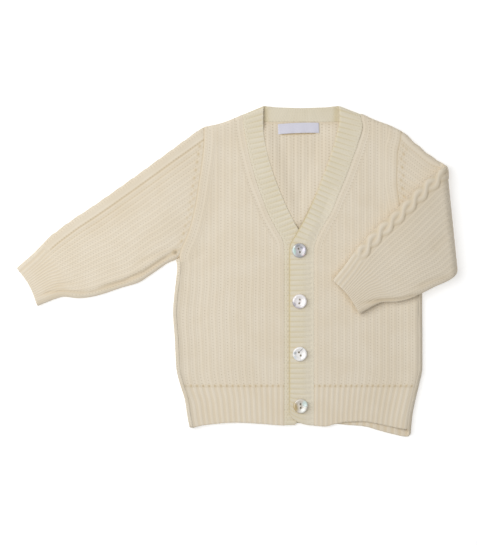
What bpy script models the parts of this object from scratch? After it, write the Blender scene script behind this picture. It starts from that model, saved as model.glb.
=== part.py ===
"""A baby cardigan laid flat on a surface, every knitted piece a closed wall of its own.

Lengths in this file are millimetres until they reach a mesh, which is in metres. +X runs to the right of the
garment as it is seen from above, +Y towards its neck and +Z up from the surface that it lies on.
"""
import bpy
import numpy as np

METRE = 1000.0

# Where the drawing's zero lies, so that the origin is under the middle of the garment's box.
SHIFT_X = -0.7015
SHIFT_Y = -1.4185

# Cloth
CLOTH = 2.4            # thickness of the knitted wall
GAP = 0.3              # between pieces that are sewn together or lie on each other
SEAM_GAP = 0.6         # beside a curved seam, where straight edges stand in for the curve
LAYER_AIR = 0.6        # between the back and the fronts
FOLD_R = 2.3           # radius of the cloth's middle round a side, a shoulder or an armhole
SLEEVE_R = 3.1         # the same round the edges of the spread sleeve
TUCKED_R = 2.55        # and of the folded sleeve
PUFF_REACH = 24.0      # how far in from a fold the fronts stay lifted

BACK_Z = CLOTH / 2
FRONT_Z = 1.5 * CLOTH + LAYER_AIR
FOLD_Z = BACK_Z + 2 * FOLD_R
SHOULDER_ARC = FOLD_R * np.pi / 2 - GAP / 2
WRAP_ARC = FOLD_R * np.pi + 0.1

# Ribs
RIB_PITCH = 7.75       # body, at the chest
BODY_RISE = 0.5
NECK_RISE = 0.45       # on the back's inner face, where the neck shows it
NECK_RIBS_FROM, NECK_FROM = 0.63, 0.94       # shares of the back's height
HEM_RISE = 0.75
BAND_PITCH = 5.7
BAND_RISE = 0.55
SLEEVE_RIBS = 14       # on each layer of a sleeve
HEM_TOP = -128.0
FRONT_STEPS = 32       # half ribs counted across a front from its band
CHEST_Y = -10.0        # below this the body's columns draw in with its sides

# Neck, bands and buttons
OVER_Z = FRONT_Z + CLOTH + BAND_RISE + GAP + 0.1
LAP_TOP = 0.26         # share of the upper band's width in which it climbs onto the lower one
BUTTON_R = 8.0
BUTTON_THICK = 2.5
BUTTON_PLACES = ((67.9, 22.0, 110), (68.2, -34.0, 82), (68.5, -91.7, 117), (69.4, -148.9, 93))
HOLE_R = 1.0
HOLE_APART = 4.1
LABEL_X, LABEL_Y = 67.1, 155.4
LABEL_WIDE, LABEL_HIGH, LABEL_THICK = 45.0, 12.5, 1.0
LABEL_TILT = 2.0

# Side seams and armholes: y, x on the left, x on the right
SIDE = {
    "y": (-186, -160, -142, -125, -107, -76, -46, -10, 4, 14.5, 22.6, 38, 51.2, 75.4, 97.4, 128.2,
          143.6, 160),
    "left": (-46, -51.3, -54, -59.3, -63.5, -65, -67, -63.7, -62.4, -63.9, -62.2, -55.6, -51.2, -45.7,
             -42.4, -38, -36.9, -36.9),
    "right": (186, 188.5, 192, 196, 199.5, 199.5, 199.3, 199.5, 200.2, 202.0, 198.0, 189.9, 183.5, 177.8,
              175.2, 175.9, 179, 180.4),
}
WRAP_TOP, WRAP_END = -6.0, 14.6       # between these heights the back's wrap round the side narrows away

HEM = {
    "x": (-70, -50.8, -37.6, -0.9, 28.4, 51, 84, 96, 109.5, 121, 138, 155, 172, 186, 205),
    "front": (-174, -173.3, -170.3, -167.4, -168.9, -170.5, -170.8, -171.7, -168.4, -166.7, -166.1,
              -168.9, -172.4, -174.6, -174.6),
    "back": (-173, -171.5, -168.5, -165.6, -167, -168, -168, -168.5, -168.9, -170, -171.2, -175.8,
             -180.3, -182.8, -179),
}

SHOULDER = {"x": (-36.9, -19.3, -2.8, 6, 28, 112.2, 123.8, 135.9, 151.3, 167.8, 179.9),
            "y": (157.9, 161.7, 167.8, 171.6, 181, 181, 177.7, 172.7, 165.6, 159.5, 153.5)}

# The band's stations from the right front's hem, up, round the back neck and down to the left front's hem.
# seam_ is the edge sewn to a panel, edge_ the free one; lap is how much the band climbs onto the lower one.
BAND_COLUMNS = ("seam_x", "seam_y", "seam_z", "edge_x", "edge_y", "edge_z", "lap")
BAND = (
    (51.5, -170.3, 4.2, 76.5, -169.6, 4.2, 0),
    (51.5, -100.0, 4.2, 76.5, -100.0, 4.2, 0),
    (51.5, -40.0, 4.2, 76.5, -40.0, 4.2, 0),
    (51.5, 10.0, 4.2, 76.5, 10.0, 4.2, 0),
    (51.5, 22.6, 4.2, 76.3, 24.0, 4.2, 0),
    (50.2, 32.0, 4.2, 72.4, 36.0, 4.2, 0),
    (43.5, 44.6, 4.2, 63.0, 52.6, 4.2, 0),
    (33.6, 63.3, 4.2, 54.5, 70.0, 4.2, 0),
    (27.0, 80.9, 4.2, 46.8, 87.6, 4.2, 0),
    (20.4, 99.6, 4.2, 39.9, 105.8, 4.2, 0),
    (13.8, 123.8, 4.2, 33.2, 128.7, 4.2, 0),
    (8.3, 149.1, 5.0, 28.9, 153.0, 5.0, 0),
    (6.4, 162.0, 5.7, 28.4, 168.0, 5.7, 0),
    (6.2, 168.0, 5.8, 28.5, 174.8, 6.1, 0),
    (6.2, 170.3, 3.5, 29.0, 178.3, 4.6, 0),
    (6.6, 168.1, 1.2, 30.6, 178.9, 3.0, 0),
    (12.0, 166.2, 1.2, 33.8, 179.1, 2.7, 0),
    (27.0, 164.0, 1.2, 39.0, 179.4, 2.6, 0),
    (45.0, 163.6, 1.2, 52.0, 179.2, 2.6, 0),
    (70.0, 163.6, 1.2, 70.0, 178.7, 2.6, 0),
    (95.0, 163.6, 1.2, 88.0, 179.2, 2.6, 0),
    (115.0, 164.0, 1.2, 101.5, 179.4, 2.6, 0),
    (130.2, 166.2, 1.2, 106.7, 179.1, 2.7, 0),
    (135.6, 168.1, 1.2, 109.9, 178.9, 3.0, 0),
    (136.0, 170.3, 3.5, 111.5, 178.3, 4.6, 0),
    (136.0, 168.0, 5.8, 112.0, 174.8, 6.1, 0),
    (137.6, 160.0, 5.7, 112.1, 166.0, 5.7, 0),
    (132.6, 139.8, 4.5, 108.3, 147.2, 4.5, 0),
    (126.0, 120.5, 4.2, 103.0, 128.3, 4.2, 0),
    (119.4, 102.9, 4.2, 97.0, 111.5, 4.2, 0),
    (111.3, 83.4, 4.2, 89.7, 92.3, 4.2, 0.2),
    (103.3, 64.0, 4.2, 81.9, 74.3, 5.4, 0.7),
    (93.6, 47.9, 4.2, 73.6, 57.0, 7.2, 1),
    (86.6, 33.0, 4.2, 65.2, 41.6, OVER_Z, 1),
    (84.2, 22.6, 4.2, 57.2, 25.0, OVER_Z, 1),
    (84.2, 10.0, 4.2, 56.7, 10.0, OVER_Z, 1),
    (84.2, -40.0, 4.2, 56.7, -40.0, OVER_Z, 1),
    (84.2, -100.0, 4.2, 56.7, -100.0, OVER_Z, 1),
    (84.2, -170.6, 4.2, 56.7, -169.6, OVER_Z, 1),
)
PINCH = 0.7            # how much thinner the band is inside its tight turn at each shoulder
CORNER_HIGH, CORNER_FROM, CORNER_FADE = 14.0, 0.42, 60.0     # the upper band's rounded bottom corner

# Sleeve, lying flat: distance along it from the shoulder tip, its top edge, its bottom edge
SLEEVE = {"along": (0, 107, 121, 152, 178, 204, 220, 235.5, 254.6, 266),
          "top": (0, 1.2, 1.2, 0.9, 0, 0.6, 2.4, 5.0, 6.9, 8.6),
          "bottom": (101, 101, 98.7, 98.4, 90.9, 82.7, 74.4, 61.9, 56.5, 54.0)}
SLEEVE_WIDE = 101.0
ARMHOLE_GAP, UNDERARM_GAP = 0.3, 0.9      # between a sleeve and the body: wider where the seam curves
CUFF = 38.0
END_TOP, END_BOTTOM, END_HOLLOW = 258.0, 263.5, 3.0
END_FROM, END_WIDE = 8.0, 46.0
RIGHT_TIP, RIGHT_ALONG = (-36.9, 157.9), (-0.815, -0.579)
LEFT_TIP, LEFT_ALONG = (180.4, 153.5), (0.839, -0.545)
TAKE_UP = 0.925        # the folded sleeve's knit is bunched a little along its length
PULLED_IN = {"along": (0, 22, 46, 62, 90), "top": (0, 3.6, 5.6, 4.6, 0)}     # its top edge before the fold

# The fold of the left sleeve
FOLD_AXIS, FOLD_OUT = (222.0, 111.7), (0.9948, 0.1023)
AXIS_Z = 8.4
SETTLE, SETTLE_FROM, SETTLE_TO = 1.7, 28.0, 78.0

# Rope cable along the top of each sleeve
LOBE = 17.5
CABLE_HALF = 5.5
CABLE_HIGH = 2.2
STRAND_SWING, STRAND_HALF = 2.6, 2.9


def smooth(x, xs, ys):
    """Values at x of a smooth curve through a table's points, level beyond its ends, with no overshoot."""
    xs, ys = np.asarray(xs, float), np.asarray(ys, float)
    step = np.diff(ys) / np.diff(xs)
    slope = np.concatenate((step[:1], np.zeros(len(step) - 1), step[-1:]))
    same = step[:-1] * step[1:] > 0
    slope[1:-1][same] = 2 * step[:-1][same] * step[1:][same] / (step[:-1] + step[1:])[same]
    x = np.clip(x, xs[0], xs[-1])
    i = np.clip(np.searchsorted(xs, x) - 1, 0, len(xs) - 2)
    width = xs[i + 1] - xs[i]
    t = (x - xs[i]) / width
    return (ys[i] * (1 + 2 * t) * (1 - t) ** 2 + ys[i + 1] * t * t * (3 - 2 * t)
            + width * (slope[i] * t * (1 - t) ** 2 - slope[i + 1] * t * t * (1 - t)))


def rise(low, high, x):
    """0 below low, 1 above high, and a smooth step between."""
    t = np.clip((x - low) / (high - low), 0, 1)
    return t * t * (3 - 2 * t)


def mix(a, b, share):
    return a + (b - a) * share


def ribs(distance, pitch):
    """0 in the furrows and 1 on the ridges of ribs that are a pitch apart."""
    return 0.5 - 0.5 * np.cos(2 * np.pi * distance / pitch)


def stack(x, y, z):
    return np.stack(np.broadcast_arrays(x, y, z), axis=-1).astype(float)


def normals(place, across, along, step=0.05):
    """Unit normals of a surface place(across, along), which both grow away from the first corner."""
    over = place(across + step, along) - place(across - step, along)
    up = place(across, along + step) - place(across, along - step)
    normal = np.cross(over, up)
    return normal / np.linalg.norm(normal, axis=-1, keepdims=True)


def nearest(values, kept):
    """For each of the values, the number of the nearest one that is kept."""
    values, kept = np.asarray(values, float), np.asarray(kept, int)
    return kept[np.argmin(np.abs(values[:, None] - values[kept][None, :]), axis=1)]


def material(name, colour, roughness):
    shade = bpy.data.materials.new(name)
    shade.use_nodes = True
    shader = shade.node_tree.nodes["Principled BSDF"]
    shader.inputs["Base Color"].default_value = (*colour, 1.0)
    shader.inputs["Roughness"].default_value = roughness
    shader.inputs["Metallic"].default_value = 0.0
    return shade


def add_piece(name, mesh, shade, parts):
    mesh.materials.append(shade)
    piece = bpy.data.objects.new(name, mesh)
    parts.objects.link(piece)
    return piece


def wall(name, outer, inner, shade, parts, ring=False):
    """A closed wall between two grids of points, joined along their open edges.

    Where a grid is held to an outline or made coarser its points repeat, and those are merged.
    """
    rows, columns = outer.shape[:2]
    points = np.concatenate((outer.reshape(-1, 3), inner.reshape(-1, 3)))
    points = np.maximum(points - (SHIFT_X, SHIFT_Y, 0), (-np.inf, -np.inf, 0)) / METRE
    number = np.arange(rows * columns).reshape(rows, columns)
    if ring:
        number = np.concatenate((number, number[:, :1]), axis=1)
    back = number + rows * columns
    a, b, c, d = number[:-1, :-1], number[:-1, 1:], number[1:, 1:], number[1:, :-1]
    faces = [np.stack((a, b, c, d), axis=-1).reshape(-1, 4)]
    a, b, c, d = back[:-1, :-1], back[:-1, 1:], back[1:, 1:], back[1:, :-1]
    faces.append(np.stack((a, d, c, b), axis=-1).reshape(-1, 4))
    rims = [(number[0], back[0]), (number[-1, ::-1], back[-1, ::-1])]
    if not ring:
        rims += [(number[::-1, 0], back[::-1, 0]), (number[:, -1], back[:, -1])]
    for edge, under in rims:
        faces.append(np.stack((edge[1:], edge[:-1], under[:-1], under[1:]), axis=-1))
    faces = np.concatenate(faces)

    _, first, same = np.unique(np.round(points, 7), axis=0, return_index=True, return_inverse=True)
    kept = points[first]
    corners = []
    for face in same.reshape(-1)[faces]:
        loop = [corner for k, corner in enumerate(face) if corner != face[k - 1]]
        if len(set(loop)) == len(loop) and len(loop) > 2:
            corners.append(loop)
    mesh = bpy.data.meshes.new(name)
    mesh.from_pydata(kept.tolist(), [], corners)
    mesh.update()
    mesh.shade_smooth()
    return add_piece(name, mesh, shade, parts)


# ---- body ----

def side(y, which):
    return smooth(y, SIDE["y"], SIDE[which])


def front_hem(x):
    return smooth(x, HEM["x"], HEM["front"])


def front_height(x, y, which):
    """Height of the middle of a front's cloth: lifted near its side, its armhole and its shoulder."""
    inward = (x - side(y, which)) * (1 if which == "left" else -1)
    from_side = 1 - rise(0, PUFF_REACH, inward)
    from_top = 1 - rise(0, PUFF_REACH, shoulder_turn(x) - y)
    lift = 1 - (1 - from_side) * (1 - from_top)
    return FRONT_Z + (FOLD_Z - FRONT_Z) * lift


def shoulder_turn(x):
    """Height on the drawing at which the cloth starts to turn over the shoulder."""
    return smooth(x, SHOULDER["x"], SHOULDER["y"]) - FOLD_R - CLOTH / 2


def band_table():
    """The band's table as named columns, with each station's distance along the band."""
    table = {name: np.array([row[k] for row in BAND], float) for k, name in enumerate(BAND_COLUMNS)}
    steps = sum(np.linalg.norm([np.diff(table[f"{line}_{axis}"]) for axis in "xyz"], axis=0) / 2
                for line in ("seam", "edge"))
    return table, np.concatenate(((0,), np.cumsum(steps)))


def band_line(y, which, line):
    """x of the band's "seam" or free "edge" at a height, on the left or the right of the neck."""
    table, stations = band_table()
    start, end = (stations[0], stations[13]) if which == "left" else (stations[-1], stations[25])
    along = np.linspace(start, end, 300)
    heights, places = (smooth(along, stations, table[f"{line}_{axis}"]) for axis in "yx")
    return np.interp(y, heights, places)


def neck_seam(x):
    """y of the band's seam across the back of the neck."""
    table, stations = band_table()
    along = np.linspace(stations[15], stations[23], 200)
    return np.interp(x, smooth(along, stations, table["seam_x"]), smooth(along, stations, table["seam_y"]))


def body_rows():
    """Rows of a panel from its hem, as shares of its height; past 1 they turn over the shoulder."""
    hem = (0, 0.11, 0.124, 0.138)
    chest = (0.2, 0.3, 0.4, 0.47, 0.505, 0.528)
    armpit = (0.541, 0.555, 0.57, 0.584)
    upper = tuple(np.linspace(0.605, 0.975, 9))
    over = (1, 1.33, 1.67, 2)
    return np.array(hem + chest + armpit + upper + over)


def drawn_in(y, which):
    """Width of a front at a height, as a share of its width at the chest."""
    edge = BAND[0][0] if which == "left" else BAND[-1][0]
    return (side(np.minimum(y, CHEST_Y), which) - edge) / (side(CHEST_Y, which) - edge)


def hold(columns, rows, low, high, bottom, top):
    """Points of columns and rows, held to an outline: bottom and top depend on x, low and high on y."""
    level = np.minimum(rows, 1)
    ends = []
    for edge, x in ((low, -60 + 0 * level), (high, 190 + 0 * level)):
        for _ in range(60):
            x = mix(x, edge(mix(bottom(x), top(x), level)), 0.5)
        ends.append(x[:, None])
    x = np.clip(columns, ends[0], ends[1])
    return x, mix(bottom(x), top(x), level[:, None])


def rib_relief(across, y):
    """How far the body's knit stands out: deep ribs in the hem, a drawn-in line, then the body's ribs."""
    line = np.exp(-((y - HEM_TOP) / 3.0) ** 2)
    strength = mix(HEM_RISE, BODY_RISE, rise(HEM_TOP - 2, HEM_TOP + 4, y)) * (1 - 0.8 * line)
    return strength * ribs(across, RIB_PITCH)


def front(which, shade, parts):
    def beside_band(y):
        return SEAM_GAP * (1 + rise(150, 162, y) + 0.3 * rise(24, 40, y))

    def low(y):
        return side(y, "left") + GAP if which == "left" else band_line(y, "right", "seam") + beside_band(y)

    def high(y):
        return band_line(y, "left", "seam") - beside_band(y) if which == "left" else side(y, "right") - GAP

    edge, outward, centre = (BAND[0][0], -1, -5.0) if which == "left" else (BAND[-1][0], 1, 140.0)
    counted = np.arange(FRONT_STEPS + 1)[::outward] * outward * RIB_PITCH / 2
    rows = body_rows()
    heights = mix(front_hem(centre), shoulder_turn(centre), np.minimum(rows, 1))[:, None]
    columns = edge + counted * drawn_in(heights, which)
    x, y = hold(columns, rows, low, high, front_hem, shoulder_turn)
    y = y + np.clip(rows - 1, 0, 1)[:, None] * SHOULDER_ARC

    def place(x, y):
        past = np.maximum(y - shoulder_turn(x), 0) / FOLD_R
        flat = np.minimum(y, shoulder_turn(x))
        height = front_height(x, flat, which)
        return stack(x, flat + FOLD_R * np.sin(past), height - FOLD_R * (1 - np.cos(past)))

    middle, out = place(x, y), normals(place, x, y)
    relief = rib_relief((x - edge) / drawn_in(heights, which), y)
    outer = middle + out * (CLOTH / 2 + relief)[..., None]
    inner = middle - out * CLOTH / 2
    numbers = np.arange(FRONT_STEPS + 1)
    inner = inner[:, nearest(numbers, numbers[numbers % 4 == 0])]
    names = {"left": "right_front", "right": "left_front"}
    return wall(names[which], outer, inner, shade, parts)


def back(shade, parts):
    def wrap(y):
        return WRAP_ARC * (1 - rise(WRAP_TOP, WRAP_END, y))

    def inset(y):
        return mix(-0.5, SEAM_GAP, rise(WRAP_TOP, WRAP_END, y))

    def turn_left(y):
        return side(y, "left") + inset(y)

    def turn_right(y):
        return side(y, "right") - inset(y)

    def shoulder_share(x):
        return 1 - rise(3, 5.5, x) * (1 - rise(136.5, 139, x))

    def top(x):
        return mix(neck_seam(x) - SEAM_GAP, shoulder_turn(x), shoulder_share(x))

    wraps = np.linspace(0, 1, 6)[1:]
    neck_ribs = np.arange(7, 31) * RIB_PITCH / 2
    plain = np.array((-50, -25, 3, 4.3, 5.6, 10, 16, 22, 121, 128, 135, 136.6, 137.8, 139, 160, 185))
    flat = np.unique(np.concatenate((plain, neck_ribs)))
    side_share = np.concatenate((-wraps[::-1], np.zeros(len(flat)), wraps))
    columns = np.concatenate((np.full(5, -300.0), flat, np.full(5, 400.0)))
    rows = body_rows()
    x, y = hold(columns, rows, turn_left, turn_right, front_hem, top)
    longer = smooth(x, HEM["x"], HEM["back"]) - front_hem(x)
    y = y + longer * (1 - np.abs(side_share)) * (1 - rise(0, 0.3, rows))[:, None]
    y = y + np.clip(rows - 1, 0, 1)[:, None] * SHOULDER_ARC * shoulder_share(x)
    across = x + side_share * wrap(y)

    def place(across, y):
        over = np.maximum(y - top(across), 0) / FOLD_R
        flat_y = np.minimum(y, top(across))
        left, right = turn_left(flat_y), turn_right(flat_y)
        past = np.maximum(left - across, 0) + np.maximum(across - right, 0)
        angle = np.minimum(past / FOLD_R, np.pi)
        level = np.maximum(past - np.pi * FOLD_R, 0)
        x = np.clip(across, left, right) + np.sign(across - 60) * (FOLD_R * np.sin(angle) - level)
        z = BACK_Z + FOLD_R * (1 - np.cos(angle)) + FOLD_R * (1 - np.cos(over))
        return stack(x, flat_y + FOLD_R * np.sin(over), z)

    middle, up = place(across, y), normals(place, across, y)
    seen = rise(4, 10, x - band_line(y, "left", "edge")) * rise(4, 10, band_line(y, "right", "edge") - x)
    seen = seen * rise(50, 60, y) * (1 - rise(157, 161, y)) * (1 - label_cover(x, y))
    inner = middle + up * (CLOTH / 2 + NECK_RISE * ribs(x, RIB_PITCH) * seen)[..., None]
    outer = middle - up * CLOTH / 2

    numbers = np.arange(len(columns))
    is_rib = np.isin(columns, neck_ribs)
    is_wrap = np.abs(columns) > 250
    is_few = np.isin(columns, (-50, -25, 3, 22, 121, 139, 160, 185)) | (is_rib & (numbers % 6 == 0))
    plain_few = nearest(numbers, numbers[is_wrap | is_few])
    by_neck = nearest(numbers, [k for k in numbers if not is_rib[k] or k % 5 == 0])
    for i, row in enumerate(rows):
        kept = plain_few if row < NECK_FROM else by_neck
        outer[i] = outer[i][kept]
        if row < NECK_RIBS_FROM:
            inner[i] = inner[i][kept]
    return wall("back", outer[:, ::-1], inner[:, ::-1], shade, parts)


def label_cover(x, y):
    """1 under the label and a little round it."""
    wide = 1 - rise(LABEL_WIDE / 2 + 1, LABEL_WIDE / 2 + 4, np.abs(x - LABEL_X))
    return wide * (1 - rise(LABEL_HIGH / 2 + 1, LABEL_HIGH / 2 + 4, np.abs(y - LABEL_Y)))


# ---- band ----

def front_band(shade, parts):
    table, stations = band_table()
    length = stations[-1]

    def place(across, along):
        value = {name: smooth(along, stations, table[name]) for name in BAND_COLUMNS}
        x = mix(value["seam_x"], value["edge_x"], across)
        y = mix(value["seam_y"], value["edge_y"], across)
        climb = mix(across, rise(0, LAP_TOP, across), value["lap"])
        z = mix(value["seam_z"], value["edge_z"], climb)
        out = np.clip((across - CORNER_FROM) / (1 - CORNER_FROM), 0, 1)
        lift = CORNER_HIGH * (1 - np.sqrt(1 - (0.97 * out) ** 2))
        y = y + lift * np.clip(1 - (length - along) / CORNER_FADE, 0, 1)
        return stack(x, y, z)

    count = int(round(length / BAND_PITCH))
    turn_a, turn_b = stations[13], stations[25]
    even = np.linspace(0, length, 2 * count + 1)
    tight = np.arange(-1.5, 13, 1.6)
    even_from = np.where(even < length / 2, even - turn_a, turn_b - even)
    in_turn = (even_from > -2) & (even_from < 13)
    along = np.sort(np.concatenate((even[~in_turn], turn_a + tight, turn_b - tight)))
    across = np.array((0, 0.09, 0.18, 0.28, 0.5, 0.7, 0.85, 0.95, 1))
    across_grid, along_grid = np.meshgrid(across, along)
    over = place(across_grid + 0.02, along_grid) - place(across_grid - 0.02, along_grid)
    up = (place(across_grid, np.minimum(along_grid + 0.3, length))
          - place(across_grid, np.maximum(along_grid - 0.3, 0)))
    out = np.cross(over, up)
    out = out / np.linalg.norm(out, axis=-1, keepdims=True)
    behind = rise(turn_a, turn_a + 8, along_grid) * (1 - rise(turn_b - 8, turn_b, along_grid))
    inside = rise(turn_a + 26, turn_a + 36, along_grid) * (1 - rise(turn_b - 36, turn_b - 26, along_grid))
    relief = BAND_RISE * ribs(along_grid, length / count)
    middle = place(across_grid, along_grid)
    outer = middle + out * (CLOTH / 2 + relief * (1 - behind))[..., None]
    pinch = sum(np.exp(-((along_grid - centre) / 6.5) ** 2) for centre in (turn_a + 4.5, turn_b - 4.5))
    half = CLOTH / 2 * (1 - PINCH * pinch * rise(0, 0.4, across_grid))
    inner = middle - out * (half + relief * inside)[..., None]

    at_lap = smooth(along, stations, table["lap"]) > 0.02
    at_corner = along > length - 24
    from_turn = np.where(along < length / 2, along - turn_a, turn_b - along)
    at_turn = (from_turn > -12) & (from_turn < 34)
    near_turn = np.abs(from_turn) < 34
    plain, lap, full = [0, 8], [0, 1, 2, 3, 8], list(range(9))
    turning = [0, 4, 8]
    rows = np.arange(len(along))
    for i in rows:
        kept = full if at_corner[i] else lap if at_lap[i] else turning if at_turn[i] else plain
        outer[i] = outer[i][nearest(across, kept)]
        inner[i] = inner[i][nearest(across, kept)]
    behind_rows = from_turn > 26
    at_bend = np.min([np.abs(along - stations[k]) for k in (5, 33)], axis=0) < 26
    sparse = (rows % 6 == 0) | ((rows % 2 == 0) & (near_turn | at_bend)) | at_turn | (along > length - 5)
    outer = outer[nearest(rows, rows[~behind_rows | sparse])]
    inner = inner[nearest(rows, rows[behind_rows | sparse])]
    return wall("front_band", outer, inner, shade, parts)


# ---- sleeves ----

def rope(off_centre, along):
    """Height, 0 to 1, of a rope of two strands that take turns to cross over each other."""
    phase = np.pi * along / LOBE
    height = np.zeros(np.broadcast(off_centre, along).shape)
    for sign in (1, -1):
        centre = sign * STRAND_SWING * np.cos(phase)
        upper = 0.5 + 0.5 * sign * np.sin(phase)
        round_part = np.sqrt(np.clip(1 - ((off_centre - centre) / STRAND_HALF) ** 2, 0, 1))
        height = np.maximum(height, round_part * mix(0.55, 1.0, upper))
    return height


class Sleeve:
    """A flat tube with ribs on its layers and a rope cable along its top.

    Points round it are e mm from its top edge, over the upper layer: e is offset + arcs * pi R + widths * W,
    where W is the flat width between the two edges' turns.
    """

    def __init__(self, tip, along, mirror, radius, shorten, cable_centre):
        self.tip, self.direction, self.mirror = np.array(tip), np.array(along), mirror
        self.normal = np.array((-along[1], along[0])) * mirror
        self.radius_full, self.shorten = radius, shorten
        self.folded = shorten < 1
        self.cable_centre = cable_centre
        self.lines = ()

    def radius(self, along):
        return mix(FOLD_R, self.radius_full, rise(5, 55, along))

    def edge(self, along, which):
        pulled = smooth(along, PULLED_IN["along"], PULLED_IN["top"]) if self.folded and which == "top" else 0
        return smooth(along / self.shorten, SLEEVE["along"], SLEEVE[which]) + pulled

    def along_at(self, share, section):
        """Distance along the sleeve of a point at a share of its width, on a section between two lines."""
        marks = np.stack([line(share) for line in self.lines])
        section = np.clip(section, 0, len(self.lines) - 1)
        low = np.clip(np.floor(section).astype(int), 0, len(self.lines) - 2)
        start = np.take_along_axis(marks, low[None], axis=0)[0]
        end = np.take_along_axis(marks, low[None] + 1, axis=0)[0]
        return mix(start, end, section - low)

    def place(self, offset, arcs, widths, section, share_only=False):
        share = np.full(section.shape, 0.5)
        for _ in range(10):
            along = self.along_at(share, section)
            radius = self.radius(along)
            outside = radius + CLOTH / 2
            top, bottom = self.edge(along, "top") + outside, self.edge(along, "bottom") - outside
            width, half = bottom - top, np.pi * radius / 2
            e = offset + arcs * np.pi * radius + widths * width
            girth = 2 * (width + 2 * half)
            e = np.mod(e + girth / 2, girth) - girth / 2
            flat = np.clip(np.abs(e) - half, 0, width)
            first = np.clip(e / radius, -np.pi / 2, np.pi / 2)
            last = np.clip((np.abs(e) - half - width) / radius, 0, np.pi / 2)
            b = top + flat - radius * np.cos(first) * (flat <= 0) + radius * np.sin(last)
            share = np.clip(b / SLEEVE_WIDE, 0, 1)
        if share_only:
            return along, e, b
        lift = np.where(flat <= 0, np.sin(first), np.sign(e) * np.cos(last))
        z = BACK_Z + radius + radius * lift
        return stack(along, b, z)

    def world(self, points):
        plan = self.tip + points[..., :1] * self.direction + points[..., 1:2] * self.normal
        return np.concatenate((plan, points[..., 2:]), axis=-1)


def armhole(share, tip, direction, normal, which):
    """Distance along a sleeve to the body's armhole, at a share of the sleeve's width."""
    inward = 1 if which == "left" else -1
    gap = mix(ARMHOLE_GAP, UNDERARM_GAP, rise(0.6, 0.85, share))
    along = 60 * share + 2
    for _ in range(30):
        x = tip[0] + along * direction[0] + share * SLEEVE_WIDE * normal[0]
        y = tip[1] + along * direction[1] + share * SLEEVE_WIDE * normal[1]
        along = along + 0.8 * (side(y, which) - gap * inward - x) / direction[0]
    return along


def sleeve_columns(cable_columns, upper_steps, lower_steps):
    """Columns round a sleeve as (offset, arcs, widths, layer): cable, upper ribs, turn and lower layer."""
    reach = CABLE_HALF
    columns = [(k, 0, 0, "cable") for k in np.linspace(-reach, reach, cable_columns)]
    for k in range(1, upper_steps):
        share = k / upper_steps
        columns.append((reach * (1 - share), 0.5 * share, share, "upper"))
    for k in range(5):
        columns.append((0, 0.5 + k / 4, 1, "turn"))
    for k in range(1, lower_steps + 1):
        share = k / lower_steps
        columns.append((-reach * share, 1.5 * (1 - share) + 2 * share, 1 * (1 - share) + 2 * share, "lower"))
    return columns[:-1]


def cuff_relief(along, end):
    return rise(end - CUFF - 3, end - CUFF + 3, along)


def sleeve(name, form, sections, fine, lower_ribs, bend, shade, parts):
    columns = sleeve_columns(7, 2 * SLEEVE_RIBS, 2 * SLEEVE_RIBS if lower_ribs else 8)
    kind = np.array([column[3] for column in columns])
    offset, arcs, widths = (np.array([column[k] for column in columns], float) for k in range(3))
    rows = np.unique(np.concatenate((sections, fine)))
    offset_grid, section = np.meshgrid(offset, rows)
    arcs_grid, widths_grid = (np.broadcast_to(values, section.shape) for values in (arcs, widths))
    along, _, _ = form.place(offset_grid, arcs_grid, widths_grid, section, share_only=True)
    near_top = np.where(widths_grid <= 1, 1 - widths_grid, widths_grid - 1)
    shift = form.cable_centre(along) * near_top
    offset_grid = offset_grid + shift

    def place(step_round, step_along):
        return form.place(offset_grid + step_round, arcs_grid, widths_grid, section + step_along)

    step = 0.02
    middle = place(0, 0)
    round_way = place(0.1, 0) - place(-0.1, 0)
    upper_end = len(form.lines) - 1
    section_step = np.where(section > upper_end - step, -step, step)
    long_way = (place(0, section_step) - middle) / section_step[..., None]
    out = np.cross(long_way, round_way)
    out = out / np.linalg.norm(out, axis=-1, keepdims=True)

    along, e, b = form.place(offset_grid, arcs_grid, widths_grid, section, share_only=True)
    end = form.lines[-1](np.clip(b / SLEEVE_WIDE, 0, 1))
    number = np.arange(len(columns))
    first_upper, first_lower = np.argmax(kind == "upper"), np.argmax(kind == "lower")
    ridge = np.zeros(len(columns))
    ridge[kind == "upper"] = (number[kind == "upper"] - first_upper) % 2 == 0
    if lower_ribs:
        ridge[kind == "lower"] = (number[kind == "lower"] - first_lower) % 2 == 0
    strength = mix(BODY_RISE, HEM_RISE, cuff_relief(along, end))
    relief = strength * ridge
    cable = kind == "cable"
    fade = 1 - rise(end - CUFF - 8, end - CUFF + 2, along)
    relief[:, cable] = (CABLE_HIGH * rope(offset[cable], along[:, cable]) * fade[:, cable])
    plan = form.world(middle)
    facing_floor = rise(-0.6, 0.1, out[..., 2])
    relief = relief * np.maximum(facing_floor, bend_share(plan) if bend else 0)
    outer = form.world(middle + out * (CLOTH / 2 + relief)[..., None])
    inner = form.world(middle - out * CLOTH / 2)
    if bend:
        outer, inner = roll(outer), roll(inner)

    coarse = nearest(rows, np.searchsorted(rows, sections))
    for j in number:
        if not cable[j]:
            outer[:, j] = outer[coarse, j]
    keep = [0, 3, 6] + [k for k in number if kind[k] == "upper" and (k - first_upper) % 3 == 2]
    keep += [k for k in number if kind[k] == "turn" or (kind[k] == "upper" and k > 2 * SLEEVE_RIBS - 3)]
    keep += [k for k in number if kind[k] == "lower" and k < first_lower + 5 and lower_ribs]
    keep += [k for k in number if kind[k] == "lower" and (not lower_ribs or (k - first_lower) % 3 == 2)]
    kept = nearest(number, sorted(keep))
    inner = inner[coarse][:, kept]
    turn = -form.mirror
    return wall(name, outer[:, ::turn], inner[:, ::turn], shade, parts, ring=True)


def past_axis(points):
    return (points[..., :2] - FOLD_AXIS) @ np.array(FOLD_OUT)


def bend_share(points):
    return rise(2, 9, past_axis(points))


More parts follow.
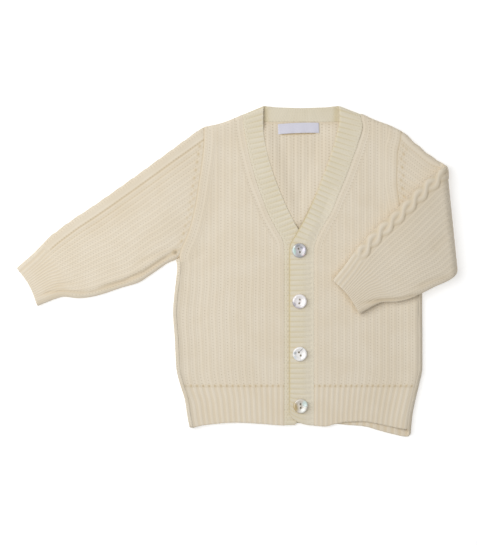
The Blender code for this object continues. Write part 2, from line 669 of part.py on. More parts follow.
def roll(points):
    """Fold what lies past the axis up, over and back, and let it settle on what lies under it."""
    bend_radius = AXIS_Z - BACK_Z - TUCKED_R
    past = past_axis(points)
    angle = np.clip(past / bend_radius, 0, np.pi)
    arm = AXIS_Z - points[..., 2]
    gone = np.maximum(past - np.pi * bend_radius, 0)
    place_out = np.where(past > 0, arm * np.sin(angle) - gone, past)
    z = np.where(past > 0, AXIS_Z - arm * np.cos(angle), points[..., 2])
    z = z - SETTLE * rise(SETTLE_FROM, SETTLE_TO, gone)
    move = (place_out - past)[..., None] * np.array(FOLD_OUT)
    return np.concatenate((points[..., :2] + move, z[..., None]), axis=-1)


def cuff_end(share):
    across = np.clip((share * SLEEVE_WIDE - END_FROM) / END_WIDE, 0, 1)
    return mix(END_TOP, END_BOTTOM, across) - END_HOLLOW * np.sin(np.pi * across)


def right_sleeve(shade, parts):
    form = Sleeve(RIGHT_TIP, RIGHT_ALONG, 1, SLEEVE_R, 1.0, lambda along: 2.0 + 0 * along)
    form.lines = (lambda share: armhole(share, form.tip, form.direction, form.normal, "left"), cuff_end)
    sections = np.array((0, 0.12, 0.28, 0.42, 0.52, 0.6, 0.68, 0.75, 0.8, 0.84, 0.87, 0.93, 1))
    fine = np.linspace(0, 1, int(END_TOP / LOBE * 5) + 1)
    return sleeve("right_sleeve", form, sections, fine, False, False, shade, parts)


def left_sleeve(shade, parts):
    form = Sleeve(LEFT_TIP, LEFT_ALONG, -1, TUCKED_R, TAKE_UP,
                  lambda along: mix(0.0, -7.0, rise(46, 80, along)))
    out = np.array(FOLD_OUT)
    tip_past = (form.tip - FOLD_AXIS) @ out
    bend = np.pi * (AXIS_Z - BACK_Z - TUCKED_R)

    def fold(share, past):
        return (past - tip_past - share * SLEEVE_WIDE * (form.normal @ out)) / (form.direction @ out)

    form.lines = (lambda share: armhole(share, form.tip, form.direction, form.normal, "right"),
                  lambda share: fold(share, 0), lambda share: fold(share, bend),
                  lambda share: cuff_end(share) * TAKE_UP)
    sections = np.concatenate(((0, 0.5), np.linspace(1, 2, 6), (2.2, 2.4, 2.56, 2.68, 2.76, 2.82, 2.9, 3)))
    fine = np.concatenate((np.linspace(0, 1, 13), np.linspace(1, 2, 11), np.linspace(2, 3, 46)))
    return sleeve("left_sleeve", form, sections, fine, True, True, shade, parts)


# ---- buttons and label ----

def cylinder(name, radius, height, centre, sides):
    bpy.ops.mesh.primitive_cylinder_add(vertices=sides, radius=radius / METRE, depth=height / METRE,
                                        location=[value / METRE for value in centre])
    piece = bpy.context.object
    piece.name = name
    return piece


def button(number, x, y, turn, shade, parts, cutters):
    """A dished round button with two thread holes."""
    base = OVER_Z + CLOTH / 2 + BAND_RISE + GAP
    profile = ((0.0, 1.7), (3.9, 1.7), (5.6, 2.4), (7.0, BUTTON_THICK), (BUTTON_R, 1.5), (6.6, 0.0),
               (0.0, 0.0))
    mesh = bpy.data.meshes.new(f"button_{number}")
    mesh.from_pydata([(r / METRE, 0, z / METRE) for r, z in profile],
                     [(k, k + 1) for k in range(len(profile) - 1)], [])
    piece = add_piece(f"button_{number}", mesh, shade, parts)
    piece.location = ((x - SHIFT_X) / METRE, (y - SHIFT_Y) / METRE, base / METRE)
    screw = piece.modifiers.new("turned", "SCREW")
    screw.steps = screw.render_steps = 18
    screw.use_merge_vertices = True
    screw.merge_threshold = 0.00001
    screw.use_normal_calculate = True
    for sign in (-1, 1):
        hole_x = x + sign * HOLE_APART / 2 * np.cos(np.radians(turn)) - SHIFT_X
        hole_y = y + sign * HOLE_APART / 2 * np.sin(np.radians(turn)) - SHIFT_Y
        hole = cylinder(f"hole_{number}_{'ab'[sign > 0]}", HOLE_R, 12, (hole_x, hole_y, base), 8)
        for owner in list(hole.users_collection):
            owner.objects.unlink(hole)
        cutters.objects.link(hole)
        hole.hide_render = True
        hole.display_type = "WIRE"
        cut = piece.modifiers.new("hole", "BOOLEAN")
        cut.operation = "DIFFERENCE"
        cut.object = hole
    return piece


def label(shade, parts):
    bpy.ops.mesh.primitive_cube_add(size=1)
    piece = bpy.context.object
    piece.name = "neck_label"
    for owner in list(piece.users_collection):
        owner.objects.unlink(piece)
    parts.objects.link(piece)
    for point in piece.data.vertices:
        point.co = (point.co.x * LABEL_WIDE / METRE, point.co.y * LABEL_HIGH / METRE,
                    point.co.z * LABEL_THICK / METRE)
    piece.location = ((LABEL_X - SHIFT_X) / METRE, (LABEL_Y - SHIFT_Y) / METRE,
                      (CLOTH + GAP + LABEL_THICK / 2) / METRE)
    piece.rotation_euler = (0, 0, np.radians(LABEL_TILT))
    piece.data.materials.append(shade)
    return piece


def main():
    for old in list(bpy.data.objects):
        bpy.data.objects.remove(old, do_unlink=True)
    parts = bpy.data.collections.new("baby_cardigan")
    cutters = bpy.data.collections.new("cutters")
    for group in (parts, cutters):
        bpy.context.scene.collection.children.link(group)
    wool = material("cream_wool", (0.78, 0.70, 0.55), 0.9)
    rib = material("cream_rib", (0.74, 0.68, 0.54), 0.9)
    pearl = material("mother_of_pearl", (0.80, 0.80, 0.78), 0.2)
    satin = material("label_satin", (0.86, 0.86, 0.88), 0.45)
    back(wool, parts)
    front("left", wool, parts)
    front("right", wool, parts)
    right_sleeve(wool, parts)
    left_sleeve(wool, parts)
    front_band(rib, parts)
    for number, (x, y, turn) in enumerate(BUTTON_PLACES, 1):
        button(number, x, y, turn, pearl, parts, cutters)
    label(satin, parts)


main()
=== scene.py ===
"""The finish of a baby cardigan laid flat: knitted cloth, ropes, pearl buttons, label, light and camera.

The forms are worked out in millimetres on the same sizes as the solids that they stand for. +X runs to the
right of the garment as it is seen from above, +Y towards its neck and +Z up from the surface that it lies on.
"""
from functools import partial

import bmesh
import bpy
import numpy as np
from mathutils import Matrix, Vector


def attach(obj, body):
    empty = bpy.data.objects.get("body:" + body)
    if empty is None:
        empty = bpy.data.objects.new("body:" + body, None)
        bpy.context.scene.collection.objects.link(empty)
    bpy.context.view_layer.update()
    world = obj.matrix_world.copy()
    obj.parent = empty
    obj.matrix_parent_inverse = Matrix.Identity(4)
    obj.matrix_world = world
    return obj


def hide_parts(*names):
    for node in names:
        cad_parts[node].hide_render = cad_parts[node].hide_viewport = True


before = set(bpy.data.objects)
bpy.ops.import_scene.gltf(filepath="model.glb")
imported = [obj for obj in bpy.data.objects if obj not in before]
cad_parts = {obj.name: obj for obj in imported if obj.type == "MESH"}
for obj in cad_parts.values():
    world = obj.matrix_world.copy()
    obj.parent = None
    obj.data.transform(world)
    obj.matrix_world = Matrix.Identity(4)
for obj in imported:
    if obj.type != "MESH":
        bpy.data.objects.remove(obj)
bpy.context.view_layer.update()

METRE = 1000.0
SHIFT = np.array((-0.7015, -1.4185, 0.0))      # where the drawing's zero lies

# Cloth
CLOTH, GAP, LAYER_AIR = 2.4, 0.3, 0.6
SEWN = -0.06                     # from a seam's line to the edges that are linked along it
FOLD_R, SLEEVE_R, TUCKED_R = 2.3, 3.1, 2.55
PUFF_REACH = 24.0                # how far in from a fold the front still rises towards it
BACK_Z = CLOTH / 2
FRONT_Z = 1.5 * CLOTH + LAYER_AIR
FOLD_Z = BACK_Z + 2 * FOLD_R
SHOULDER_ARC = FOLD_R * np.pi / 2 - GAP / 2
WRAP_ARC = FOLD_R * np.pi + 0.9

# Knit
RIB_PITCH = 7.75
ROW = 3.2
BODY_RISE, NECK_RISE, HEM_RISE, BAND_RISE = 0.08, 0.2, 0.18, 0.34
SLEEVE_RISE = 2.6 * BODY_RISE
BAND_PITCH = 5.7
UNDER_LAP = 0.55
SLEEVE_RIBS = 14
FURROW = 6.7                     # from one furrow beside the sleeve's rope to the next
HEM_TOP = -128.0
HEM_PITCH = {"left": 6.6, "right": 6.05}
CHEST_Y = -10.0
V_POINT = 24.0                   # height of the lowest end of the neck
BY_NECK, BY_ARM = 9.0, 14.0      # widths of the strips of ribs that follow the neck and the armhole

OVER_Z = FRONT_Z + CLOTH + UNDER_LAP + GAP + 0.1
LAP_TOP = 0.45                   # share of the band's width where it has climbed onto the lower one

# Buttons and label
BUTTON_R = 8.0
BUTTON_PROFILE = ((0.0, 1.62), (2.6, 1.62), (3.8, 1.72), (4.6, 2.05), (5.5, 2.36), (6.3, 2.5), (7.1, 2.42),
                  (7.7, 2.0), (BUTTON_R, 1.35), (7.8, 0.8), (7.2, 0.3), (6.5, 0.0), (0.0, 0.0))
BUTTON_PLACES = ((67.9, 22.0, 110), (68.2, -34.0, 82), (68.5, -91.7, 117), (69.4, -148.9, 93))
HOLE_R, HOLE_APART = 1.0, 4.1
THREAD_UP = 0.75
SWIRL = 0.28                     # scale of the cloudy pattern in the shell
LABEL_X, LABEL_Y = 67.1, 156.6
LABEL_WIDE, LABEL_HIGH = 45.0, 11.2
LABEL_TILT = 2.0

# Each button's colour, and its patches of shell tint, painted highlight and reflection, and painted shade: x
# and y from its middle, half width, half height, turn, colour
PEARL = (
    ((0.79, 0.78, 0.79), (
        (-1.5, 6.3, 4.6, 2.2, 10, (0.60, 0.60, 0.61)), (0.8, -5.9, 4.8, 2.6, 0, (0.66, 0.66, 0.67)),
        (-4.9, 0.2, 2.2, 5.6, 12, (0.79, 0.90, 0.87)), (-4.8, 5.0, 1.5, 1.7, 0, (0.90, 0.93, 0.90)),
        (5.6, 1.8, 2.0, 3.6, -15, (0.88, 0.85, 0.93)), (5.6, -4.2, 2.0, 1.7, 30, (0.88, 0.80, 0.82)),
        (3.0, 3.2, 1.7, 2.8, 20, (0.60, 0.60, 0.64)))),
    ((1.0, 0.98, 0.98), (
        (-6.2, -2.6, 3.2, 5.4, 35, (0.66, 0.64, 0.67)), (-1.8, -6.6, 5.4, 2.4, 0, (0.80, 0.77, 0.79)))),
    ((1.0, 0.99, 0.98), (
        (-4.9, 1.6, 2.6, 2.4, 20, (0.74, 0.76, 0.77)), (-5.0, -3.6, 3.0, 3.0, 0, (0.88, 0.90, 0.92)),
        (2.1, 4.9, 4.1, 0.62, 45, (0.58, 0.58, 0.60)))),
    ((0.89, 0.86, 0.81), (
        (-6.4, -0.8, 5.6, 9.0, 12, (0.74, 0.65, 0.46)), (5.4, 3.0, 4.4, 5.0, 0, (0.84, 0.91, 0.89)),
        (3.2, -4.6, 5.0, 3.6, 15, (0.96, 0.96, 0.93)), (5.0, 0.5, 3.4, 0.6, -15, (0.70, 0.74, 0.74)))),
)

# Side seams and armholes: y, x on the left, x on the right
SIDE = {
    "y": (-186, -160, -142, -125, -107, -76, -46, -10, 4, 14.5, 22.6, 38, 51.2, 75.4, 97.4, 128.2,
          143.6, 160),
    "left": (-46, -51.3, -54, -59.3, -63.5, -65, -67, -63.7, -62.4, -63.9, -62.2, -55.6, -51.2, -45.7,
             -42.4, -38, -36.9, -36.9),
    "right": (186, 188.5, 192, 196, 199.5, 199.5, 199.3, 199.5, 200.2, 202.0, 198.0, 189.9, 183.5, 177.8,
              175.2, 175.9, 179, 180.4),
}
WRAP_TOP, WRAP_END = 12.0, 17.0      # heights between which the back stops wrapping round the side folds
HEM = {"x": (-70, -50.8, -37.6, -0.9, 28.4, 51, 84, 96, 109.5, 121, 138, 155, 172, 186, 205),
       "front": (-174, -173.3, -170.3, -167.4, -168.9, -170.5, -170.8, -171.7, -168.4, -166.7, -166.1,
                 -168.9, -172.4, -174.6, -174.6),
       "back": (-173, -171.5, -168.5, -165.6, -167, -168, -168, -168.5, -168.9, -170, -171.2, -175.8,
                -180.3, -182.8, -179)}
SHOULDER = {"x": (-36.9, -19.3, -2.8, 6, 28, 112.2, 123.8, 135.9, 151.3, 167.8, 179.9),
            "y": (157.9, 161.7, 167.8, 171.6, 181, 181, 177.7, 172.7, 165.6, 159.5, 153.5)}

# The band's stations from the right front's hem, up, round the back neck and down to the left front's hem
BAND_COLUMNS = ("seam_x", "seam_y", "seam_z", "edge_x", "edge_y", "edge_z", "lap")
BAND = (
    (51.5, -170.3, 4.2, 76.5, -169.6, 4.2, 0),
    (51.5, -100, 4.2, 76.5, -100, 4.2, 0),
    (51.5, -40, 4.2, 76.5, -40, 4.2, 0),
    (51.5, 10, 4.2, 76.5, 10, 4.2, 0),
    (51.5, 22.6, 4.2, 76.3, 24, 4.2, 0),
    (50.2, 32, 4.2, 72.4, 36, 4.2, 0),
    (43.5, 44.6, 4.2, 63, 52.6, 4.2, 0),
    (33.6, 63.3, 4.2, 54.5, 70, 4.2, 0),
    (27, 80.9, 4.2, 46.8, 87.6, 4.2, 0),
    (20.4, 99.6, 4.2, 39.9, 105.8, 4.2, 0),
    (13.8, 123.8, 4.2, 33.2, 128.7, 4.2, 0),
    (8.3, 149.1, 5, 28.9, 153, 5, 0),
    (6.4, 162, 5.7, 28.4, 168, 5.7, 0),
    (6.2, 168, 5.8, 28.5, 174.8, 6.1, 0),
    (6.2, 170.3, 3.5, 29, 178.3, 4.6, 0),
    (6.6, 168.1, 1.2, 30.6, 178.9, 3, 0),
    (12, 166.2, 1.2, 33.8, 179.1, 2.7, 0),
    (27, 164, 1.2, 39, 179.4, 2.6, 0),
    (45, 163.6, 1.2, 52, 179.2, 2.6, 0),
    (70, 163.6, 1.2, 70, 178.7, 2.6, 0),
    (95, 163.6, 1.2, 88, 179.2, 2.6, 0),
    (115, 164, 1.2, 101.5, 179.4, 2.6, 0),
    (130.2, 166.2, 1.2, 106.7, 179.1, 2.7, 0),
    (135.6, 168.1, 1.2, 109.9, 178.9, 3, 0),
    (136, 170.3, 3.5, 111.5, 178.3, 4.6, 0),
    (136, 168, 5.8, 112, 174.8, 6.1, 0),
    (137.6, 160, 5.7, 112.1, 166, 5.7, 0),
    (132.6, 139.8, 4.5, 108.3, 147.2, 4.5, 0),
    (126, 120.5, 4.2, 103, 128.3, 4.2, 0),
    (119.4, 102.9, 4.2, 97, 111.5, 4.2, 0),
    (111.3, 83.4, 4.2, 89.7, 92.3, 4.2, 0.2),
    (103.3, 64, 4.2, 81.9, 74.3, 5.4, 0.7),
    (93.6, 47.9, 4.2, 73.6, 57, 7.2, 1),
    (86.6, 33, 4.2, 65.2, 41.6, OVER_Z, 1),
    (84.2, 22.6, 4.2, 57.2, 25, OVER_Z, 1),
    (84.2, 10, 4.2, 56.7, 10, OVER_Z, 1),
    (84.2, -40, 4.2, 56.7, -40, OVER_Z, 1),
    (84.2, -100, 4.2, 56.7, -100, OVER_Z, 1),
    (84.2, -170.6, 4.2, 56.7, -169.6, OVER_Z, 1),
)
CORNERS = (13, 25)     # stations where it turns over each shoulder
ON_BACK = (15, 23)     # stations between which it lies along the back
PINCH = 0.7
CORNER_HIGH, CORNER_FROM, CORNER_FADE = 14.0, 0.42, 38.0
UNDER_CORNER, CORNER_CURL = 3.3, 2.6

# Sleeves: distance along from the shoulder tip, top edge, bottom edge
SLEEVE = {"along": (0, 107, 121, 152, 178, 204, 220, 235.5, 254.6, 266),
          "top": (0, 1.2, 1.2, 0.9, 0, 0.6, 2.4, 5.0, 6.9, 8.6),
          "bottom": (101, 101, 98.7, 98.4, 90.9, 82.7, 74.4, 61.9, 56.5, 54.0)}
SLEEVE_WIDE = 101.0
CUFF = 38.0
END_TOP, END_BOTTOM, END_HOLLOW = 258.0, 263.5, 3.0
END_FROM, END_WIDE = 8.0, 46.0
RIGHT_TIP, RIGHT_ALONG = (-36.9, 157.9), (-0.815, -0.579)
LEFT_TIP, LEFT_ALONG = (180.4, 153.5), (0.839, -0.545)
TAKE_UP = 0.925
PULLED_IN = {"along": (0, 22, 46, 62, 90), "top": (0, 3.6, 5.6, 4.6, 0)}
FOLD_AXIS, FOLD_OUT = (222.0, 111.7), (0.9948, 0.1023)
AXIS_Z = 8.4
SETTLE, SETTLE_FROM, SETTLE_TO = 1.7, 28.0, 78.0

# Rope cable
LOBE = 17.5
CABLE_HALF = 8.0
CABLE_HIGH = 1.75
STRAND_SWING, STRAND_HALF = 4.0, 4.0
STRAND_WALE = 2.9      # width of one column of stitches on a strand

# Places round a sleeve, from one side of its rope on: offset, arcs and widths (see Sleeve), and ribs gone by
ROUND_SLEEVE = ((-CABLE_HALF, 0, 0, 0), (CABLE_HALF, 0, 0, 0), (0, 0.5, 1, SLEEVE_RIBS),
                (0, 1.5, 1, SLEEVE_RIBS + 1), (-CABLE_HALF, 2, 2, 2 * SLEEVE_RIBS + 1))
UNDERARM = (-69.3, 20.3)

# Lamps: name, place in metres, size and power
LAMPS = (("key", (-0.58, 0.2, 1.1), 1.3, 11.9), ("fill", (0.5, 0.0, 1.8), 1.5, 1.5))

# Camera: height of the frame on the cardigan's plane, its centre on the drawing, and the camera's own height
FRAME_HIGH = 599.5
FRAME_X, FRAME_Y = 1.1, -2.2
CAMERA_HIGH = 3.6      # metres

# Where the folded sleeve's end and edge lie on the left front; a painted shadow runs along them there
UNDER_SLEEVE = ((131, -44), (118, -25), (106.5, -6.5), (150, 38), (196, 84))

# Creases: height (troughs below 0), half width, and the points that they run through
CREASES = {
    "right_sleeve": (
        (-2.3, 2.2, (-66, 22), (-84.6, 10.3), (-103.4, -2.3), (-124.4, -11.8), (-145.3, -18), (-160, -23.3)),
        (-0.9, 1.8, (-156, -23.0), (-170.5, -24.3), (-191.5, -22.3), (-208.2, -24.3), (-220.9, -28.6)),
        (-0.5, 3.0, (-74, 24), (-92, 16), (-112, 8)),
        (-0.4, 2.6, (-176, -13), (-192, -15), (-207, -20)),
        (0.3, 9.0, (-118, 30), (-98, 48), (-80, 62)),
        (-0.25, 8.0, (-168, 38), (-144, 58), (-120, 74)),
    ),
    "left_sleeve": (
        (-1.4, 2.4, (136, -36), (156, -33), (178, -31.5), (203, -26)),
        (-0.7, 3.5, (196, -18), (214, -12), (236, -5)),
        (-0.4, 6.0, (214, 20), (224, 32), (232, 40)),
        (0.3, 8.0, (168, 4), (186, 18), (205, 30)),
    ),
    "right_front": (
        (-0.35, 4.5, (-62, 6), (-50, 10), (-34, 22)),
        (0.35, 9.0, (-58, -20), (-40, -16), (-20, -4)),
        (0.3, 11.0, (-40, -110), (-10, -106), (20, -96)),
        (0.25, 9.0, (-10, 30), (-4, 60), (8, 92)),
    ),
    "left_front": (
        (0.4, 9.0, (198, -40), (180, -48), (160, -52)),
        (0.3, 11.0, (190, -100), (160, -98), (130, -88)),
        (0.3, 9.0, (128, 30), (130, 60), (140, 96)),
        (-0.35, 6.0, (196, -72), (186, -78), (176, -80)),
    ),
    "back": (
        (0.3, 12.0, (20, -60), (70, -56), (120, -42)),
        (0.3, 10.0, (-30, 20), (0, 36), (30, 60)),
        (0.25, 10.0, (170, 30), (148, 56), (120, 74)),
    ),
}


# ---- forms ----

def smooth(x, xs, ys):
    """Values at x of a smooth curve through a table's points, level beyond its ends, with no overshoot."""
    xs, ys = np.asarray(xs, float), np.asarray(ys, float)
    step = np.diff(ys) / np.diff(xs)
    slope = np.concatenate((step[:1], np.zeros(len(step) - 1), step[-1:]))
    same = step[:-1] * step[1:] > 0
    slope[1:-1][same] = 2 * step[:-1][same] * step[1:][same] / (step[:-1] + step[1:])[same]
    x = np.clip(x, xs[0], xs[-1])
    i = np.clip(np.searchsorted(xs, x) - 1, 0, len(xs) - 2)
    width = xs[i + 1] - xs[i]
    t = (x - xs[i]) / width
    return (ys[i] * (1 + 2 * t) * (1 - t) ** 2 + ys[i + 1] * t * t * (3 - 2 * t)
            + width * (slope[i] * t * (1 - t) ** 2 - slope[i + 1] * t * t * (1 - t)))


def rise(low, high, x):
    """0 below low, 1 above high, and a smooth step between."""
    t = np.clip((x - low) / (high - low), 0, 1)
    return t * t * (3 - 2 * t)


def fall(low, high, x):
    """1 below low, 0 above high, and a smooth step between."""
    return 1 - rise(low, high, x)


def mix(a, b, share):
    return a + (b - a) * share


def hump(x, centre, reach):
    """1 at the centre, fading smoothly to nothing beyond the reach."""
    return np.exp(-((x - centre) / reach) ** 2)


def swell(turns):
    """0 at whole numbers and 1 halfway between them."""
    return 0.5 - 0.5 * np.cos(2 * np.pi * np.asarray(turns))


def stack(x, y, z):
    return np.stack(np.broadcast_arrays(x, y, z), axis=-1).astype(float)


def square_to(over, up):
    normal = np.cross(over, up)
    return normal / np.linalg.norm(normal, axis=-1, keepdims=True)


def normals(place, across, along, step=0.05):
    return square_to(place(across + step, along) - place(across - step, along),
                     place(across, along + step) - place(across, along - step))


def knots(shares, values):
    """A map of 0 to 1 onto values, with a share of the cells between each pair of them."""
    places = np.concatenate(((0,), np.cumsum(shares))) / np.sum(shares)
    return lambda t: np.interp(t, places, values)


def side(y, which):
    return smooth(y, SIDE["y"], SIDE[which])


def front_hem(x):
    return smooth(x, HEM["x"], HEM["front"])


def shoulder_turn(x):
    return smooth(x, SHOULDER["x"], SHOULDER["y"]) - FOLD_R - CLOTH / 2


def front_height(x, y, which):
    inward = (x - side(y, which)) * (1 if which == "left" else -1)
    away = rise(0, PUFF_REACH, inward) * rise(0, PUFF_REACH, shoulder_turn(x) - y)
    return mix(FOLD_Z, FRONT_Z, away)


def off_route(x, y, route):
    """Distance from a line through a route's points, and the share of the line that is gone by there."""
    route = np.array(route, float)
    steps = np.linalg.norm(np.diff(route, axis=0), axis=1)
    gone = np.concatenate(((0,), np.cumsum(steps)))
    off, along = np.full(np.shape(x), 1e6), np.zeros(np.shape(x))
    for k, length in enumerate(steps):
        way = (route[k + 1] - route[k]) / length
        on = np.clip((x - route[k, 0]) * way[0] + (y - route[k, 1]) * way[1], 0, length)
        away = np.hypot(x - route[k, 0] - on * way[0], y - route[k, 1] - on * way[1])
        along = np.where(away < off, gone[k] + on, along)
        off = np.minimum(off, away)
    return off, along / gone[-1]


def crease(points, name):
    """How far a piece's creases lift its points or sink them; each fades towards its ends."""
    lift = np.zeros(len(points))
    for height, half, *route in CREASES[name]:
        off, share = off_route(points[:, 0], points[:, 1], route)
        lift += height * hump(off, 0, half) * (0.25 + 0.75 * rise(0, 0.2, share) * fall(0.75, 1, share))
    return lift


def band_stations():
    """Distance along the band to each row of its table, halfway between its seam and its free edge."""
    steps = np.diff(np.array(BAND, float)[:, :6], axis=0)
    steps = np.linalg.norm(steps[:, :3], axis=1) / 2 + np.linalg.norm(steps[:, 3:], axis=1) / 2
    return np.concatenate(((0,), np.cumsum(steps)))


def band_at(along, *columns):
    """Columns of the band's table at these distances along it."""
    return [smooth(along, STATIONS, [row[BAND_COLUMNS.index(name)] for row in BAND]) for name in columns]


def band_line(y, which, line):
    start, end = (0, CORNERS[0]) if which == "left" else (-1, CORNERS[1])
    along = np.linspace(STATIONS[start], STATIONS[end], 300)
    return np.interp(y, *band_at(along, f"{line}_y", f"{line}_x"))


def neck_seam(x):
    along = np.linspace(*STATIONS[list(ON_BACK)], 200)
    return np.interp(x, *band_at(along, "seam_x", "seam_y"))


STATIONS = band_stations()


def drawn_in(y, which):
    """How wide a front is at a height, as a share of its width at the chest."""
    edge = BAND[0][0] if which == "left" else BAND[-1][0]
    return (side(np.minimum(y, CHEST_Y), which) - edge) / (side(CHEST_Y, which) - edge)


def outline(across, level, low, high, bottom, top):
    """Points at shares of a panel's width and height, inside an outline that depends on both."""
    levels, row = np.unique(level, return_inverse=True)
    ends = []
    for edge, x in ((low, -60 + 0 * levels), (high, 190 + 0 * levels)):
        for _ in range(60):
            x = mix(x, edge(mix(bottom(x), top(x), levels)), 0.5)
        ends.append(x[row])
    x = mix(ends[0], ends[1], across)
    return x, mix(bottom(x), top(x), level), ends


def rope(off_centre, along):
    """Height, 0 to 1, of a rope of two crossing strands, and how far off the upper strand's middle it is."""
    phase = np.pi * along / LOBE
    height, off_strand = np.zeros(np.shape(off_centre)), np.zeros(np.shape(off_centre))
    for sign in (1, -1):
        centre = sign * STRAND_SWING * np.cos(phase)
        upper = 0.5 + 0.5 * sign * np.sin(phase)
        round_part = np.clip(1 - ((off_centre - centre) / STRAND_HALF) ** 2, 0, 1) ** 0.4
        own = round_part * mix(0.45, 1.0, upper)
        off_strand = np.where(own > height, off_centre - centre, off_strand)
        height = np.maximum(height, own)
    return height, off_strand


# ---- cloth as meshes ----

def blank(across, along, finer, tube):
    """A closed flat blank of cloth: x and y run from 0 to 1, z is 1 on its fine face and 0 on its plain one.

    The plain face has across by along cells, and the fine face has finer by finer cells in each of them. A
    tube's blank has no rim along its two long edges, because they are sewn together once it is round.
    """
    cloth = bmesh.new()
    bmesh.ops.create_grid(cloth, x_segments=across, y_segments=along, size=0.5,
                          matrix=Matrix.Translation((0.5, 0.5, 0)))
    flat = [*cloth.verts, *cloth.edges, *cloth.faces]
    raised = bmesh.ops.extrude_face_region(cloth, geom=flat, use_keep_orig=True)["geom"]
    upper = [v for v in raised if isinstance(v, bmesh.types.BMVert)]
    bmesh.ops.translate(cloth, verts=upper, vec=(0, 0, 1))
    if tube:
        rims = [f for f in cloth.faces if abs(f.normal.x) > 0.9]
        bmesh.ops.delete(cloth, geom=rims, context="FACES")
    fine = [e for e in cloth.edges if all(v.co.z > 0.5 for v in e.verts)]
    bmesh.ops.subdivide_edges(cloth, edges=fine, cuts=finer - 1, use_grid_fill=True)
    return cloth


def meshed(name, shape):
    mesh = bpy.data.meshes.new(name)
    shape.to_mesh(mesh)
    shape.free()
    return mesh


def placed(name, data):
    thing = bpy.data.objects.new(name, data)
    bpy.context.scene.collection.objects.link(thing)
    return thing


def standing(name, mesh, shade, node):
    """A piece in its shade that rides on the body, and stands for a node where one is given."""
    mesh.shade_smooth()
    mesh.materials.append(shade)
    piece = placed(name, mesh)
    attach(piece, "root")
    if node:
        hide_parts(node)
    return piece


def knitted(node, cells, form, shade, tube=False):
    """A node's knitting: the points of a blank with these cells go where form(u, v, fine) puts them.

    form gives the points in millimetres, the stitch that each is in (column, row), and marks for the shade,
    among them painted shade and painted highlight.
    """
    name = f"{node}_knit"
    cloth = blank(*cells, tube)
    bmesh.ops.recalc_face_normals(cloth, faces=cloth.faces)
    mesh = meshed(name, cloth)
    flat = np.empty(3 * len(mesh.vertices))
    mesh.vertices.foreach_get("co", flat)
    u, v, face = flat.reshape(-1, 3).T
    points, stitch, marks = form(u, v, face > 0.5)
    points = np.maximum(points - SHIFT, (-np.inf, -np.inf, 0)) / METRE
    mesh.vertices.foreach_set("co", points.astype(np.float32).ravel())
    corner = np.empty(len(mesh.loops), np.int32)
    mesh.loops.foreach_get("vertex_index", corner)
    layer = mesh.uv_layers.new(name="knit")
    layer.uv.foreach_set("vector", np.stack(stitch, axis=-1)[corner].astype(np.float32).ravel())
    for mark, values in marks.items():
        attribute = mesh.attributes.new(mark, "FLOAT", "POINT")
        attribute.data.foreach_set("value", np.broadcast_to(values, u.shape).astype(np.float32))
    sewn = bmesh.new()
    sewn.from_mesh(mesh)
    sewn.verts.ensure_lookup_table()
    if tube:
        long_edges = [sewn.verts[k] for k in np.flatnonzero(np.abs(u - 0.5) > 0.4999)]
        bmesh.ops.remove_doubles(sewn, verts=long_edges, dist=0.00002)
    bmesh.ops.recalc_face_normals(sewn, faces=sewn.faces)
    sewn.to_mesh(mesh)
    sewn.free()
    return standing(name, mesh, shade, node)


def rounded(distance, radius):
    """Share of the full thickness at a distance from a free edge, where the cloth rounds off."""
    return np.sqrt(1 - (0.93 * (1 - np.clip(distance / radius, 0, 1))) ** 2)


def fisherman(across):
    """Height, 0 to 1, across a half fisherman's rib, whose raised column has its middle at a half."""
    turn = 2 * np.pi * np.asarray(across)
    return 0.5 - 0.46 * np.cos(turn) + 0.07 * np.cos(2 * turn)


def plain_rib(across):
    """Height, 0 to 1, across a firm rib of one column up and one down."""
    return swell(across) ** 0.75


